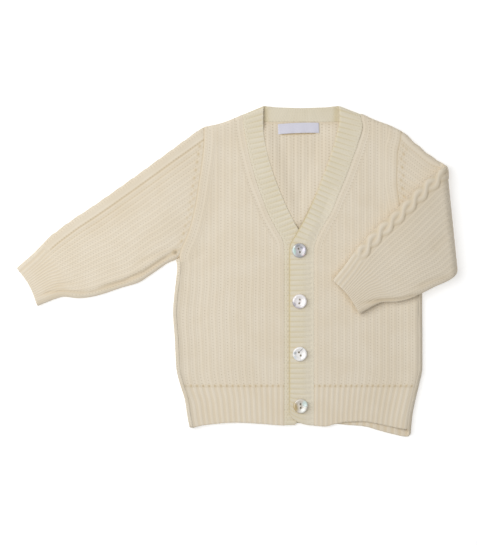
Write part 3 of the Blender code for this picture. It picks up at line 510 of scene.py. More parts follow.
def front_form(which, u, v, fine):
    """The front on one side as it is seen from above; the wearer's right front is on the left."""
    left = which == "left"
    edge, outward, centre = (BAND[0][0], -1, -5.0) if left else (BAND[-1][0], 1, 140.0)
    name = "right_front" if left else "left_front"
    all_ribs = (side(CHEST_Y, which) - edge) * outward / RIB_PITCH

    def low(y):
        return (side(y, "left") if left else band_line(y, "right", "seam")) + SEWN

    def high(y):
        return (band_line(y, "left", "seam") if left else side(y, "right")) - SEWN

    def place(x, y):
        past = np.maximum(y - shoulder_turn(x), 0) / FOLD_R
        flat = np.minimum(y, shoulder_turn(x))
        height = front_height(x, flat, which)
        return stack(x, flat + FOLD_R * np.sin(past), height - FOLD_R * (1 - np.cos(past)))

    def squarely(line, y):
        """Share of a level distance from a line that is square to the line."""
        slope = (line(y + 2) - line(y - 2)) / 4
        return 1 / np.sqrt(1 + slope ** 2)

    row = knots((1.2, 84, 2), (0, 0.004, 1, 2))(v)
    x, flat_y, ends = outline(u, np.minimum(row, 1), low, high, front_hem, shoulder_turn)
    y = flat_y + np.clip(row - 1, 0, 1) * SHOULDER_ARC
    height = mix(front_hem(centre), shoulder_turn(centre), np.minimum(row, 1))
    hem = fall(HEM_TOP - 2, HEM_TOP + 3, flat_y)
    off_edge = (x - edge) * outward / drawn_in(height, which)
    pitch = np.where(flat_y < HEM_TOP, HEM_PITCH[which], RIB_PITCH)
    neck, arm = (ends[1], ends[0]) if left else (ends[0], ends[1])
    off_neck = (x - neck) * outward * squarely(high if left else low, flat_y)
    off_arm = (arm - x) * outward * squarely(low if left else high, flat_y)
    near = ((off_neck < BY_NECK) & (flat_y > V_POINT), (off_arm < BY_ARM) & (flat_y > CHEST_Y))
    across = np.select(near, (off_neck / RIB_PITCH, all_ribs - off_arm / RIB_PITCH), off_edge / pitch)
    ending = hump(off_neck, BY_NECK, 1.3) * rise(V_POINT, V_POINT + 10, flat_y)
    ending += 0.7 * hump(off_arm, BY_ARM, 1.3) * rise(CHEST_Y, 6, flat_y)
    line = hump(flat_y, HEM_TOP + 1, 1.5)
    relief = mix(BODY_RISE * fisherman(across), HEM_RISE * plain_rib(across), hem)
    beside = np.minimum(x - ends[0], ends[1] - x)
    relief = relief * (1 - 0.3 * line) * (1 - 0.5 * ending) * rise(0, 5, beside)
    free = rounded(flat_y - front_hem(x), 1.8)
    sewn = 0.93 + 0.07 * rise(0, 1.4, beside)
    lift = np.where(fine, (CLOTH / 2 + relief) * free * sewn, -CLOTH / 2)
    points = place(x, y) + normals(place, x, y) * lift[:, None]
    points[:, 2] += crease(points, name)
    # Painted shade: dots along the hem's row of holes, where the rib strips end, along the edges, and along
    # the armhole seam.
    dots = swell(off_edge / HEM_PITCH[which] + 0.5) ** 3
    painted_shade = line * (0.25 + 1.45 * dots) + 0.15 * ending + 0.15 * hump(beside, 0, 0.9)
    painted_shade += 0.7 * hump(off_arm, 0, 1.0) * rise(CHEST_Y, 6, flat_y)
    if not left:
        # a painted shadow cast by the folded sleeve along its end and edge
        painted_shade += 0.5 * hump(off_route(x, y, UNDER_SLEEVE)[0], 0, 2.6)
    # painted shade on the strip along the side below the armhole, where the cloth rounds down to the fold
    turned = fall(0, 6, np.where(flat_y < 10, off_arm, 99.0))
    marks = {"rib": hem, "painted_shade": painted_shade, "turned": 0.6 * turned, "inside": 1.0 - fine}
    return points, (across, flat_y / ROW), marks


def back_form(u, v, fine):
    """The back; its fine face is the upper one, which shows in the neck and at the hem."""
    def inset(y):
        return mix(-0.5, SEWN, rise(WRAP_TOP, WRAP_END, y))

    def turn_left(y):
        return side(y, "left") + inset(y)

    def turn_right(y):
        return side(y, "right") - inset(y)

    def shoulder_share(x):
        return 1 - rise(3, 5.5, x) * fall(136.5, 139, x)

    def top(x):
        return mix(neck_seam(x) - SEWN, shoulder_turn(x), shoulder_share(x))

    def place(across, y):
        over = np.maximum(y - top(across), 0) / FOLD_R
        flat_y = np.minimum(y, top(across))
        left, right = turn_left(flat_y), turn_right(flat_y)
        past = np.maximum(left - across, 0) + np.maximum(across - right, 0)
        angle = np.minimum(past / FOLD_R, np.pi)
        level = np.maximum(past - np.pi * FOLD_R, 0)
        x = np.clip(across, left, right) + np.sign(across - 60) * (FOLD_R * np.sin(angle) - level)
        z = BACK_Z + FOLD_R * (1 - np.cos(angle)) + FOLD_R * (1 - np.cos(over))
        return stack(x, flat_y + FOLD_R * np.sin(over), z)

    wraps = knots((7, 50, 7), (-1, 0, 1, 2))(u)
    share = knots((8, 6, 22, 6, 8), (0, 0.26, 0.31, 0.66, 0.71, 1))(np.clip(wraps, 0, 1))
    side_share = np.minimum(wraps, 0) + np.maximum(wraps - 1, 0)
    row = knots((1, 10, 30, 38, 2), (0, 0.01, 0.14, 0.62, 1, 2))(v)
    x, y, _ = outline(share, np.minimum(row, 1), turn_left, turn_right, front_hem, top)
    longer = smooth(x, HEM["x"], HEM["back"]) - front_hem(x)
    y += longer * (1 - np.abs(side_share)) * fall(0, 0.3, row)
    y += np.clip(row - 1, 0, 1) * SHOULDER_ARC * shoulder_share(x)
    across = x + side_share * WRAP_ARC * fall(WRAP_TOP, WRAP_END, y)
    middle, up = place(across, y), normals(place, across, y)
    off_left, off_right = x - band_line(y, "left", "edge"), band_line(y, "right", "edge") - x
    seen = rise(4, 10, off_left) * rise(4, 10, off_right)
    seen = seen * rise(50, 60, y) * fall(157, 161, y) * (1 - label_cover(x, y))
    ribs = x / RIB_PITCH
    relief = NECK_RISE * plain_rib(ribs) * seen
    off_band = np.minimum(off_left, off_right)
    pillow = rise(-5, 0, off_band) * fall(1, 20, off_band) * rise(46, 56, y) * fall(152, 163, y)
    pillow = pillow * (2.0 + 0.5 * rise(110, 145, y))
    lift = np.where(fine, CLOTH / 2 + relief + pillow, pillow - CLOTH / 2)
    points = middle + up * lift[:, None]
    flat_part = (side_share == 0) & (row <= 1)
    points[:, 2] += crease(points, "back") * flat_part
    hem = fall(HEM_TOP - 2, HEM_TOP + 3, y)
    # painted shade on the lower part of the side wraps, and a faint painted highlight on their upper part
    turned = rise(0.1, 0.6, np.abs(side_share)) * (0.5 * rise(20, -20, y) - 0.15 * rise(-30, 0, y))
    # painted shade along the neck seam under the band
    by_band = hump(y, top(x), 3.0) * (1 - shoulder_share(x))
    # a painted shadow under the label's lower edge
    below_label = y - LABEL_Y + LABEL_HIGH / 2 - (x - LABEL_X) * np.tan(np.radians(LABEL_TILT))
    below_label = hump(below_label, -0.6, 1.0) * fall(17, 21, np.abs(x - LABEL_X))
    inside = np.where(side_share == 0, 1.0 * fine, 0)
    # painted shade along the neck seam; on the inner face, a painted shadow under the label and painted shade
    # beside the band's edge
    painted_shade = 0.5 * by_band + (1.9 * below_label + 0.2 * hump(off_band, 0.3, 1.3)) * inside
    marks = {"rib": hem, "painted_shade": painted_shade, "turned": turned, "inside": inside}
    return points, (np.where(fine, ribs, across / RIB_PITCH), y / ROW), marks


def label_cover(x, y):
    wide = fall(LABEL_WIDE / 2 + 1, LABEL_WIDE / 2 + 4, np.abs(x - LABEL_X))
    return wide * fall(LABEL_HIGH / 2 + 1, LABEL_HIGH / 2 + 4, np.abs(y - LABEL_Y))


def band_form(u, v, fine):
    """The band; u runs from its seam to its free edge, and v from the right front's hem to the left one's."""
    length = STATIONS[-1]
    turn_a, turn_b = STATIONS[list(CORNERS)]

    def at_corners(along, beyond, reach):
        return hump(along, turn_a + beyond, reach) + hump(along, turn_b - beyond, reach)

    def past_corners(along, start, end):
        """1 along the back neck, fading to 0 between these two distances from the corners."""
        return rise(turn_a + start, turn_a + end, along) * fall(turn_b - end, turn_b - start, along)

    def place(across, along):
        seam_x, seam_y, seam_z, edge_x, edge_y, edge_z, lap = band_at(along, *BAND_COLUMNS)
        x, y = mix(seam_x, edge_x, across), mix(seam_y, edge_y, across)
        z = mix(seam_z, edge_z, mix(across, rise(0, LAP_TOP, across), lap))
        out = np.clip((across - CORNER_FROM) / (1 - CORNER_FROM), 0, 1)
        lift = CORNER_HIGH * (1 - np.sqrt(1 - (0.97 * out) ** 2))
        y += lift * np.clip(1 - (length - along) / CORNER_FADE, 0, 1)
        y += CORNER_CURL * rise(0.1, 0.75, across) * np.clip(1 - (length - along) / 20, 0, 1)
        y += UNDER_CORNER * rise(0.44, 0.62, across) * np.clip(1 - along / 20, 0, 1)
        y += 1.4 * across * at_corners(along, 8, 14.0)
        return stack(x, y, z)

    along = knots((1, 74, 12, 40, 12, 78, 1),
                  (0, 1.5, turn_a - 2, turn_a + 14, turn_b - 14, turn_b + 2, length - 1.5, length))(v)
    across = knots((1, 7, 1), (0, 0.05, 0.95, 1))(u)
    over = place(across + 0.02, along) - place(across - 0.02, along)
    up = place(across, np.minimum(along + 0.3, length)) - place(across, np.maximum(along - 0.3, 0))
    out = square_to(over, up)
    behind, inside = past_corners(along, 0, 8), past_corners(along, 26, 36)
    count = int(round(length / BAND_PITCH))
    ribs = along / length * count
    width = np.linalg.norm(over, axis=-1) / 0.04
    seam_off, edge_off = across * width, (1 - across) * width
    end_off = np.minimum(along, length - along)
    at_neck = past_corners(along, 12, 16)
    ribs = np.where(at_neck > 0.5, 2 * ribs, ribs)
    share = rounded(edge_off, 2.4) * rounded(end_off, 1.6) * (0.93 + 0.07 * rise(0, 1.4, seam_off))
    edging = fall(1.0, 3.0, edge_off)
    picked_up = fall(2.6, 4.2, seam_off) * (1 - at_neck)
    relief = mix(mix(plain_rib(ribs), 0.85, 0.5 * edging), 0.75 * hump(seam_off, 1.9, 1.5), picked_up)
    relief = BAND_RISE * relief * share * mix(1, 0.6, at_neck)
    half = CLOTH / 2 * (1 - PINCH * at_corners(along, 4.5, 6.5) * rise(0, 0.4, across))
    upper = CLOTH / 2 * mix(share, 1, behind) + relief * (1 - behind)
    lower = -(half * mix(rounded(edge_off, 2.0), share, inside) + relief * inside)
    points = place(across, along) + out * np.where(fine, upper, lower)[:, None]
    lap, = band_at(along, "lap")
    # Painted shade along the seam and its pick-up stitches, along the free edge (most where it laps over),
    # and where the band turns from the front to the back neck.
    painted_shade = 0.1 * hump(seam_off, 0, 0.9) + 0.35 * picked_up * swell(along / ROW) * hump(seam_off, 3.3, 0.9)
    painted_shade += (0.3 + 1.1 * lap) * hump(edge_off, 0, 1.4) * (1 - behind)
    painted_shade += 0.8 * behind * (hump(points[:, 0], 30.5, 3.0) + hump(points[:, 0], 108.5, 3.0))
    rib = (1 - 0.8 * picked_up) * mix(0.35, 1.0, across) * mix(1, 0.5, at_neck)
    # a painted highlight on the lap's climb and on the free edge's rim up the right front, slopes that face
    # away from the key light
    painted_highlight = 0.55 * lap * fall(LAP_TOP * 0.6, LAP_TOP, across)
    painted_highlight = np.maximum(painted_highlight, 0.5 * fall(0.5, 2.6, edge_off) * (along < turn_a + 3))
    marks = {"rib": rib, "painted_shade": painted_shade * (1 - 0.8 * painted_highlight), "turned": -painted_highlight, "inside": 0.0}
    return points, (ribs, across * width / ROW), marks


class Sleeve:
    """A flat tube; e is the distance round it from its top edge, as offset + arcs * pi R + widths * W."""

    def __init__(self, tip, along, mirror, radius, shorten, cable_centre):
        self.tip, self.direction = np.array(tip), np.array(along)
        self.normal = np.array((-along[1], along[0])) * mirror
        self.radius_full, self.shorten, self.cable_centre = radius, shorten, cable_centre
        self.folded = shorten < 1
        self.lines = ()        # where each section crosses a share of the width, as distances along

    def radius(self, along, share):
        """How round the edges are: least at the armhole, where the sleeve lies level with the body."""
        shares = np.linspace(0, 1, 40)
        start = np.interp(share, shares, self.lines[0](shares))
        return mix(FOLD_R, self.radius_full, rise(0, 50, along - start))

    def edge(self, along, which):
        pulled = smooth(along, PULLED_IN["along"], PULLED_IN["top"]) if self.folded and which == "top" else 0
        return smooth(along / self.shorten, SLEEVE["along"], SLEEVE[which]) + pulled

    def along_at(self, share, section):
        marks = np.stack([line(share) for line in self.lines])
        section = np.clip(section, 0, len(self.lines) - 1)
        low = np.clip(np.floor(section).astype(int), 0, len(self.lines) - 2)
        each = np.arange(section.size)
        return mix(marks[low, each], marks[low + 1, each], section - low)

    def place(self, offset, arcs, widths, section, plan_only=False):
        share = np.full(section.shape, 0.5)
        for _ in range(10):
            along = self.along_at(share, section)
            radius = self.radius(along, share)
            outside = radius + CLOTH / 2
            top, bottom = self.edge(along, "top") + outside, self.edge(along, "bottom") - outside
            width, half = bottom - top, np.pi * radius / 2
            e = offset + arcs * np.pi * radius + widths * width
            girth = 2 * (width + 2 * half)
            e = np.mod(e + girth / 2, girth) - girth / 2
            flat = np.clip(np.abs(e) - half, 0, width)
            first = np.clip(e / radius, -np.pi / 2, np.pi / 2)
            last = np.clip((np.abs(e) - half - width) / radius, 0, np.pi / 2)
            b = top + flat - radius * np.cos(first) * (flat <= 0) + radius * np.sin(last)
            share = np.clip(b / SLEEVE_WIDE, 0, 1)
        if plan_only:
            return along, e, b
        lift = np.where(flat <= 0, np.sin(first), np.sign(e) * np.cos(last))
        return stack(along, b, BACK_Z + radius + radius * lift)

    def world(self, points):
        plan = self.tip + points[..., :1] * self.direction + points[..., 1:2] * self.normal
        return np.concatenate((plan, points[..., 2:]), axis=-1)


def armhole(share, form, which):
    inward = 1 if which == "left" else -1
    start_x, start_y = (form.tip[k] + share * SLEEVE_WIDE * form.normal[k] for k in (0, 1))
    along = 60 * share + 2
    for _ in range(30):
        x, y = start_x + along * form.direction[0], start_y + along * form.direction[1]
        along = along + 0.8 * (side(y, which) - 2 * SEWN * inward - x) / form.direction[0]
    return along


def cuff_end(share):
    across = np.clip((share * SLEEVE_WIDE - END_FROM) / END_WIDE, 0, 1)
    return mix(END_TOP, END_BOTTOM, across) - END_HOLLOW * np.sin(np.pi * across)


def past_axis(points):
    return (points[..., :2] - FOLD_AXIS) @ np.array(FOLD_OUT)


def roll(points):
    """Fold what lies past the axis up, over and back, and let it settle on what lies under it."""
    bend_radius = AXIS_Z - BACK_Z - TUCKED_R
    past = past_axis(points)
    angle = np.clip(past / bend_radius, 0, np.pi)
    arm = AXIS_Z - points[..., 2]
    gone = np.maximum(past - np.pi * bend_radius, 0)
    place_out = np.where(past > 0, arm * np.sin(angle) - gone, past)
    z = np.where(past > 0, AXIS_Z - arm * np.cos(angle), points[..., 2])
    z = z - SETTLE * rise(SETTLE_FROM, SETTLE_TO, gone)
    move = (place_out - past)[..., None] * np.array(FOLD_OUT)
    return np.concatenate((points[..., :2] + move, z[..., None]), axis=-1)


def sleeve_form(name, form, sections, round_shares, u, v, fine):
    """A sleeve whose blank's v runs through the sections and whose u goes once round it."""
    part, section = knots(round_shares, range(5))(u), sections(v)
    offset, arcs, widths, ribs = (np.interp(part, range(5), column) for column in zip(*ROUND_SLEEVE))
    along, _, _ = form.place(offset, arcs, widths, section, plan_only=True)
    near_top = np.where(widths <= 1, 1 - widths, widths - 1)
    shifted = offset + form.cable_centre(along) * near_top

    def place(step_round, step_along):
        return form.place(shifted + step_round, arcs, widths, section + step_along)

    middle = place(0, 0)
    round_way = place(0.1, 0) - place(-0.1, 0)
    step = np.where(section > len(form.lines) - 1.02, -0.02, 0.02)
    long_way = (place(0, step) - middle) / step[:, None]
    out = square_to(long_way, round_way)
    along, e, b = form.place(shifted, arcs, widths, section, plan_only=True)
    start, end = (form.lines[k](np.clip(b / SLEEVE_WIDE, 0, 1)) for k in (0, -1))
    from_seam = along - start
    cuff = rise(end - CUFF - 3, end - CUFF + 3, along)
    relief = mix(SLEEVE_RISE * fisherman(ribs), HEM_RISE * plain_rib(ribs), cuff)
    relief = relief * rise(1, 1.02, part) * fall(3.98, 4, part)
    rope_high, off_strand = rope(offset, along)
    fade = fall(end - CUFF - 8, end - CUFF + 2, along)
    in_cable = part < 1
    hidden = rise(-1.5, 2.0, e)         # the rope lies on the sleeve's top edge and just behind it
    rope_high = mix(rope_high, 0.15, hidden)
    cable = CABLE_HIGH * rope_high * fade + HEM_RISE * cuff * plain_rib(3 * part)
    cable = cable * fall(CABLE_HALF - 1.2, CABLE_HALF, np.abs(offset))
    relief = np.where(in_cable, cable, relief) * rise(0, 5, from_seam)
    past = past_axis(form.world(middle))
    off_floor = rise(-0.6, 0.1, out[..., 2])
    relief = relief * np.maximum(off_floor, rise(2, 9, past) if form.folded else 0)
    share_end = rounded(end - along, 1.6) * (0.9 + 0.1 * rise(0, 1.4, from_seam))
    lift = np.where(fine, (CLOTH / 2 + relief) * share_end, -CLOTH / 2)
    points = form.world(middle + out * lift[:, None])
    upper = rise(0.3, 0.7, out[..., 2])
    if form.folded:
        points = roll(points)
        upper = rise(0.3, 0.7, -out[..., 2]) * rise(6, 14, past)
    sunk = crease(points, name) * upper
    points[:, 2] += sunk
    strand = mix(0.5 + off_strand / STRAND_WALE / 2, 0.5 + 0.5 * offset / CABLE_HALF, hidden)
    column = np.select((in_cable & (cuff > 0.5), in_cable), (3 * part, strand), ribs)
    eyelets = swell(ribs) * swell(along / ROW / 2)
    # painted shade in the rib furrows that run beside the rope
    from_edge = FURROW * np.minimum(ribs, ROUND_SLEEVE[-1][-1] - ribs)
    from_cable = np.where(in_cable, np.abs(offset) - CABLE_HALF, from_edge)
    furrows = sum(deep * hump(from_cable, FURROW * k, 1.1) for k, deep in enumerate((1, 0.6, 0.4, 0.25)))
    # painted shade along the armhole seam and in the decrease eyelets beside it
    painted_shade = 0.8 * hump(from_seam, 0, 1.0) + 1.4 * hump(from_seam, 7.0, 3.5) * eyelets
    # painted shade between the rope's strands
    between = 0.9 * (1 - rope_high) ** 2 * (1 - hidden) * fall(4.5, 7.5, np.abs(offset))
    painted_shade += (between * in_cable + furrows * (0.4 if form.folded else 1)) * fade
    # painted shade in the troughs of the creases
    painted_shade += 0.6 * np.clip(-sunk, 0, 1)
    if form.folded:
        # painted shade over the folded-over part, fading further on, and less on the rope's tops
        turned = rise(3, 12, past) * (0.3 - 0.16 * rise(10, 90, past)) * (1 - 0.6 * in_cable * rope_high)
    else:
        # a painted shadow at the armpit, under the spread sleeve
        painted_shade += 1.2 * hump(np.hypot(*(points[:, :2] - UNDERARM).T), 0, 3.0)
        # painted shade on a strip near the top edge and from the bottom fold round the underside
        turned = 0.16 * fall(0, 11, e) * rise(-4, 0, e) + 0.25 * rise(1.9, 1.98, part) * (part < 3)
    rib = np.where(in_cable, 1.0 - hidden * (1 - cuff), cuff)
    marks = {"rib": rib, "painted_shade": painted_shade, "turned": turned, "inside": 1.0 - fine}
    return points, (column, along / form.shorten / ROW), marks


def right_sleeve():
    form = Sleeve(RIGHT_TIP, RIGHT_ALONG, 1, SLEEVE_R, 1.0, lambda along: 3.5)
    form.lines = (lambda share: armhole(share, form, "left"), cuff_end)
    sections = knots((1, 50, 1), (0, 0.01, 0.992, 1))
    shape = partial(sleeve_form, "right_sleeve", form, sections, (6, 22, 3, 8))
    return knitted("right_sleeve", (39, 56, 4), shape, WOOL, tube=True)


def left_sleeve():
    form = Sleeve(LEFT_TIP, LEFT_ALONG, -1, TUCKED_R, TAKE_UP, lambda along: -7.7 * rise(46, 80, along))
    out = np.array(FOLD_OUT)
    tip_past = (form.tip - FOLD_AXIS) @ out
    bend = np.pi * (AXIS_Z - BACK_Z - TUCKED_R)

    def fold(share, past):
        return (past - tip_past - share * SLEEVE_WIDE * (form.normal @ out)) / (form.direction @ out)

    form.lines = (lambda share: armhole(share, form, "right"), lambda share: fold(share, 0),
                  lambda share: fold(share, bend), lambda share: cuff_end(share) * TAKE_UP)
    sections = knots((1, 9, 6, 40, 1), (0, 0.02, 1, 2, 2.99, 3))
    shape = partial(sleeve_form, "left_sleeve", form, sections, (6, 22, 2, 22))
    return knitted("left_sleeve", (52, 58, 4), shape, WOOL, tube=True)


# ---- shades ----

def maths(operation, reflected=False):
    """A method that adds a Math node on a shade and what it is given."""
    def method(shade, *others):
        values = (*others, shade) if reflected else (shade, *others)
        return shade.node("ShaderNodeMath", dict(enumerate(values)), operation=operation)

    return method


class Shade:
    """A socket in a material's nodes. Expressions on it add Math nodes; node() adds any other kind."""

    def __init__(self, tree, socket=None):
        self.tree, self.socket = tree, socket

    def node(self, kind, inputs, output=0, **settings):
        """A new node's output. An input is linked to a shade, or set to a constant."""
        made = self.tree.nodes.new(kind)
        for name, value in settings.items():
            setattr(made, name, value)
        for name, value in inputs.items():
            if isinstance(value, Shade):
                self.tree.links.new(value.socket, made.inputs[name])
            else:
                made.inputs[name].default_value = value
        return Shade(self.tree, made.outputs[output])

    __add__, __radd__ = maths("ADD"), maths("ADD", reflected=True)
    __sub__, __rsub__ = maths("SUBTRACT"), maths("SUBTRACT", reflected=True)
    __mul__, __rmul__ = maths("MULTIPLY"), maths("MULTIPLY", reflected=True)
    fract, abs, low, high = maths("FRACT"), maths("ABSOLUTE"), maths("MINIMUM"), maths("MAXIMUM")
    sine, root = maths("SINE"), maths("SQRT")

    def wave(self):
        """Sine of a turn: 0 at whole numbers and at halves, 1 at a quarter."""
        return (self * (2 * np.pi)).sine()

    def dome(self):
        """Height of a half round over -1 to 1, and 0 beyond."""
        return (1 - self * self).high(0.0).root()

    def step(self, low, high):
        """0 below low, 1 above high, and a smooth step between."""
        return self.node("ShaderNodeMapRange", {"Value": self, "From Min": low, "From Max": high},
                         interpolation_type="SMOOTHSTEP")

    def blend(self, first, second):
        """Between two numbers, by this share."""
        return self * (second - first) + first

    def tint(self, first, second):
        """Between two colours, by this share."""
        return self.node("ShaderNodeMix", {0: self, 6: first, 7: second}, output=2, data_type="RGBA")

    def noise(self, scale, detail=2.0, **more):
        """Noise at these coordinates."""
        return self.node("ShaderNodeTexNoise", {"Vector": self, "Scale": scale, "Detail": detail, **more})

    def mapped(self, vector_type="POINT", **moves):
        """These coordinates moved, turned or scaled."""
        return self.node("ShaderNodeMapping", {"Vector": self, **moves}, vector_type=vector_type)

    def vector(self, operation, *values, output=0):
        return self.node("ShaderNodeVectorMath", dict(enumerate(values)), output, operation=operation)

    def parts(self):
        """The x and the y of these coordinates."""
        split = self.node("ShaderNodeSeparateXYZ", {"Vector": self}).socket.node
        return [Shade(self.tree, split.outputs[axis]) for axis in "XY"]

    def bump(self, strength, distance):
        """The normal of a surface that this height raises."""
        return self.node("ShaderNodeBump", {"Height": self, "Strength": strength, "Distance": distance})


def coordinates(name):
    """A new material, and the Object coordinates in its nodes."""
    material = bpy.data.materials.new(name)
    material.use_nodes = True
    material.node_tree.nodes.clear()
    return material, Shade(material.node_tree).node("ShaderNodeTexCoord", {}, output=3)


def dressed(material, looks):
    """The material, with a Principled shader whose named sockets are linked or set."""
    tree = material.node_tree
    shader = Shade(tree).node("ShaderNodeBsdfPrincipled", looks)
    output = tree.nodes.new("ShaderNodeOutputMaterial")
    tree.links.new(shader.socket, output.inputs["Surface"])
    return material


def dot(across, up):
    """1 in the middle of an ellipse, fading to 0 at its rim."""
    return (1 - across * across - up * up).high(0.0)


def darker(colour, share):
    return (*(c * share for c in colour[:3]), 1.0)


def tone(colour):
    """A colour as it looks on a screen, as the shader wants it."""
    return (*(c ** 2.2 for c in colour), 1.0)


def wool(name, light, deep, valley_from, valley_shade_depth):
    """Knitted wool, on a map that counts columns across and rows along."""
    material, place = coordinates(name)
    column, row = place.node("ShaderNodeUVMap", {}, uv_map="knit").parts()
    rib, painted_shade, inside, turned = (place.node("ShaderNodeAttribute", {}, output=2, attribute_name=mark)
                                   for mark in ("rib", "painted_shade", "inside", "turned"))
    wander = place.noise(160.0)
    strand = place.noise(2600.0, 3.0, Roughness=0.7)
    cloudy = place.noise(34.0, 3.0)

    uneven = (wander - 0.5) * 0.18
    turn = (column + uneven * 0.3).fract()
    off = (turn - 0.5).abs() * 2.0          # 0 in the middle of a raised column, 1 in that of a sunk one
    leg = ((row + uneven + off * 0.8).fract() * 2.0 - 1.0).dome()
    parting = (off * 9.0).low(1.0)
    full = (off * 1.75).dome() * (leg * 0.5 + 0.5) * (parting * 0.3 + 0.7)
    bar = ((row + uneven + 0.5).fract() * 2.0 - 1.0).dome()
    sunk = ((1.0 - off) * 2.1).dome() * (bar * 0.55 + 0.1) * rib.blend(0.9, 0.3)
    height = off.step(0.47, 0.6).blend(full, sunk)

    strong = dot((1.0 - off) * 4.6, (row + uneven + 0.3).fract() * 5.6 - 2.8)
    weak = dot(off * 5.0, (row + uneven + 0.8).fract() * 6.0 - 3.0) * 0.6
    eye = (strong + weak) * inside.blend(1.0, 1.5) * rib.blend(1.0, 0.15)
    # painted shade in the sunk columns of the firm ribs; on the body only a faint warm tone on the raised
    # columns
    valley_shade = off.step(valley_from, valley_from + 0.45) * valley_shade_depth
    valley = rib.blend((1 - off).step(0.3, 0.9) * 0.11, valley_shade)

    colour = (cloudy.step(0.35, 0.65) * 0.16).tint(light, deep)
    # the valleys' tones, and on the inner face painted shade between the chains of stitches
    colour = (valley + inside * off.step(0.45, 0.9) * 0.12).tint(colour, deep)
    # painted shade: the mark darkens the colour towards the deep one
    colour = (painted_shade * 0.8).low(1.0).tint(colour, deep)
    # darkest tint: a painted shadow where the mark passes 1, together with the dark eyes of the stitches
    pit = (painted_shade - 1.0).high(0.0) + eye * (wander * 0.7 + 0.25)
    colour = pit.low(1.0).tint(colour, darker(deep, 0.62))
    # painted shade: greyer and darker where the mark is above 0
    colour = (turned * 0.8).low(1.0).tint(colour, (0.56, 0.50, 0.40, 1))
    colour = (turned * -1.0).tint(colour, (0.98, 0.90, 0.74, 1))          # painted highlight, pale where the mark is below 0
    colour = ((strand - 0.5).abs() * 0.5).tint(colour, darker(light, 0.86))

    bumpy = height - eye * 0.55 + strand * 0.16
    return dressed(material, {"Base Color": colour, "Normal": bumpy.bump(0.34, 0.0009), "Roughness": 0.92,
                              "Specular IOR Level": 0.18, "Sheen Weight": 0.12, "Sheen Roughness": 0.45})


def satin():
    material, place = coordinates("label_satin")
    across, along = place.mapped(Rotation=(0, 0, -np.radians(LABEL_TILT))).parts()
    mottled = place.noise(900.0)
    thread = (across * 2200.0).wave() * (along * 2600.0).wave() * 0.25 + mottled * 0.5
    return dressed(material, {"Base Color": mottled.tint((0.62, 0.61, 0.70, 1), (0.72, 0.71, 0.80, 1)),
                              "Normal": thread.bump(0.25, 0.0002), "Roughness": 0.38, "Sheen Weight": 0.25})


def pearl(number, base, centre, patches):
    """Polished shell: a base colour with faint growth bands, and soft patches of shell tint, painted
    highlight and reflection, and painted shade.
    """
    material, place = coordinates(f"mother_of_pearl_{number}")
    local = place.mapped(Location=tuple(-c * METRE for c in centre), Scale=(METRE, METRE, METRE))
    cloud = local.noise(SWIRL, 3.0, Distortion=1.2)
    grain = local.noise(SWIRL * 5, Distortion=0.5)
    moved = place.vector("ADD", local, place.vector("MULTIPLY", cloud, (1.2, 1.2, 0.0)))
    colour = (cloud * 0.7).tint(tone(base), tone(c * 0.9 for c in base))
    # the patches are tints of the shell, painted highlights and reflections, and painted shade
    for x, y, wide, high, turn, tint in patches:
        in_patch = moved.mapped("TEXTURE", Location=(x, y, 0.0), Rotation=(0, 0, np.radians(turn)),
                                Scale=(wide, high, 50.0))
        far = place.vector("LENGTH", in_patch, output=1)
        colour = (1 - far.step(0.35, 1.0)).tint(colour, tone(tint))
    return dressed(material, {"Base Color": colour, "Normal": (cloud * 0.8 + grain * 0.2).bump(0.1, 0.0003),
                              "Roughness": 0.2, "Coat Weight": 1.0, "Coat Roughness": 0.2, "Coat IOR": 1.65})


def thread_shade():
    material, place = coordinates("sewing_thread")
    colour = place.noise(4000.0).tint((0.74, 0.66, 0.50, 1), (0.86, 0.80, 0.66, 1))
    return dressed(material, {"Base Color": colour, "Roughness": 0.7, "Sheen Weight": 0.3})


def floor_shade():
    material, place = coordinates("pale_floor")
    colour = place.noise(3.0).tint((0.74, 0.74, 0.74, 1), (0.76, 0.76, 0.76, 1))
    return dressed(material, {"Base Color": colour, "Roughness": 0.9, "Specular IOR Level": 0.1,
                              "Emission Color": (1, 1, 1, 1), "Emission Strength": 0.45})


# ---- buttons and label ----

def finished(name, shape, place, turn, shade, node):
    """A named piece from a bmesh in millimetres, rotated by degrees and moved to its place on the drawing."""
    move = Matrix.Translation(Vector(place) - Vector(SHIFT)) @ Matrix.Rotation(np.radians(turn), 4, "Z")
    bmesh.ops.transform(shape, verts=shape.verts, matrix=Matrix.Scale(1 / METRE, 4) @ move)
    return standing(name, meshed(name, shape), shade, node)


def disc():
    """A dished round button, spun from its profile, with two thread holes bored through it."""
    shape = bmesh.new()
    points = [shape.verts.new((radius, 0, height)) for radius, height in BUTTON_PROFILE]
    edges = [shape.edges.new(pair) for pair in zip(points, points[1:])]
    bmesh.ops.spin(shape, geom=points + edges, cent=(0, 0, 0), axis=(0, 0, 1), angle=2 * np.pi, steps=56,
                   use_merge=True)
    bmesh.ops.remove_doubles(shape, verts=shape.verts, dist=0.001)
    bmesh.ops.recalc_face_normals(shape, faces=shape.faces)
    bores = bmesh.new()
    for off in (-HOLE_APART / 2, HOLE_APART / 2):
        bmesh.ops.create_cone(bores, cap_ends=True, segments=24, radius1=HOLE_R, radius2=HOLE_R, depth=9,
                              matrix=Matrix.Translation((off, 0, 1)))
    body, bore = placed("disc", meshed("disc", shape)), placed("bores", meshed("bores", bores))
    cut = body.modifiers.new("holes", "BOOLEAN")
    cut.operation, cut.object = "DIFFERENCE", bore
    ready = body.evaluated_get(bpy.context.evaluated_depsgraph_get())
    shape = bmesh.new()
    shape.from_mesh(ready.to_mesh())
    ready.to_mesh_clear()
    for thing in (body, bore):
        mesh = thing.data
        bpy.data.objects.remove(thing)
        bpy.data.meshes.remove(mesh)
    return shape


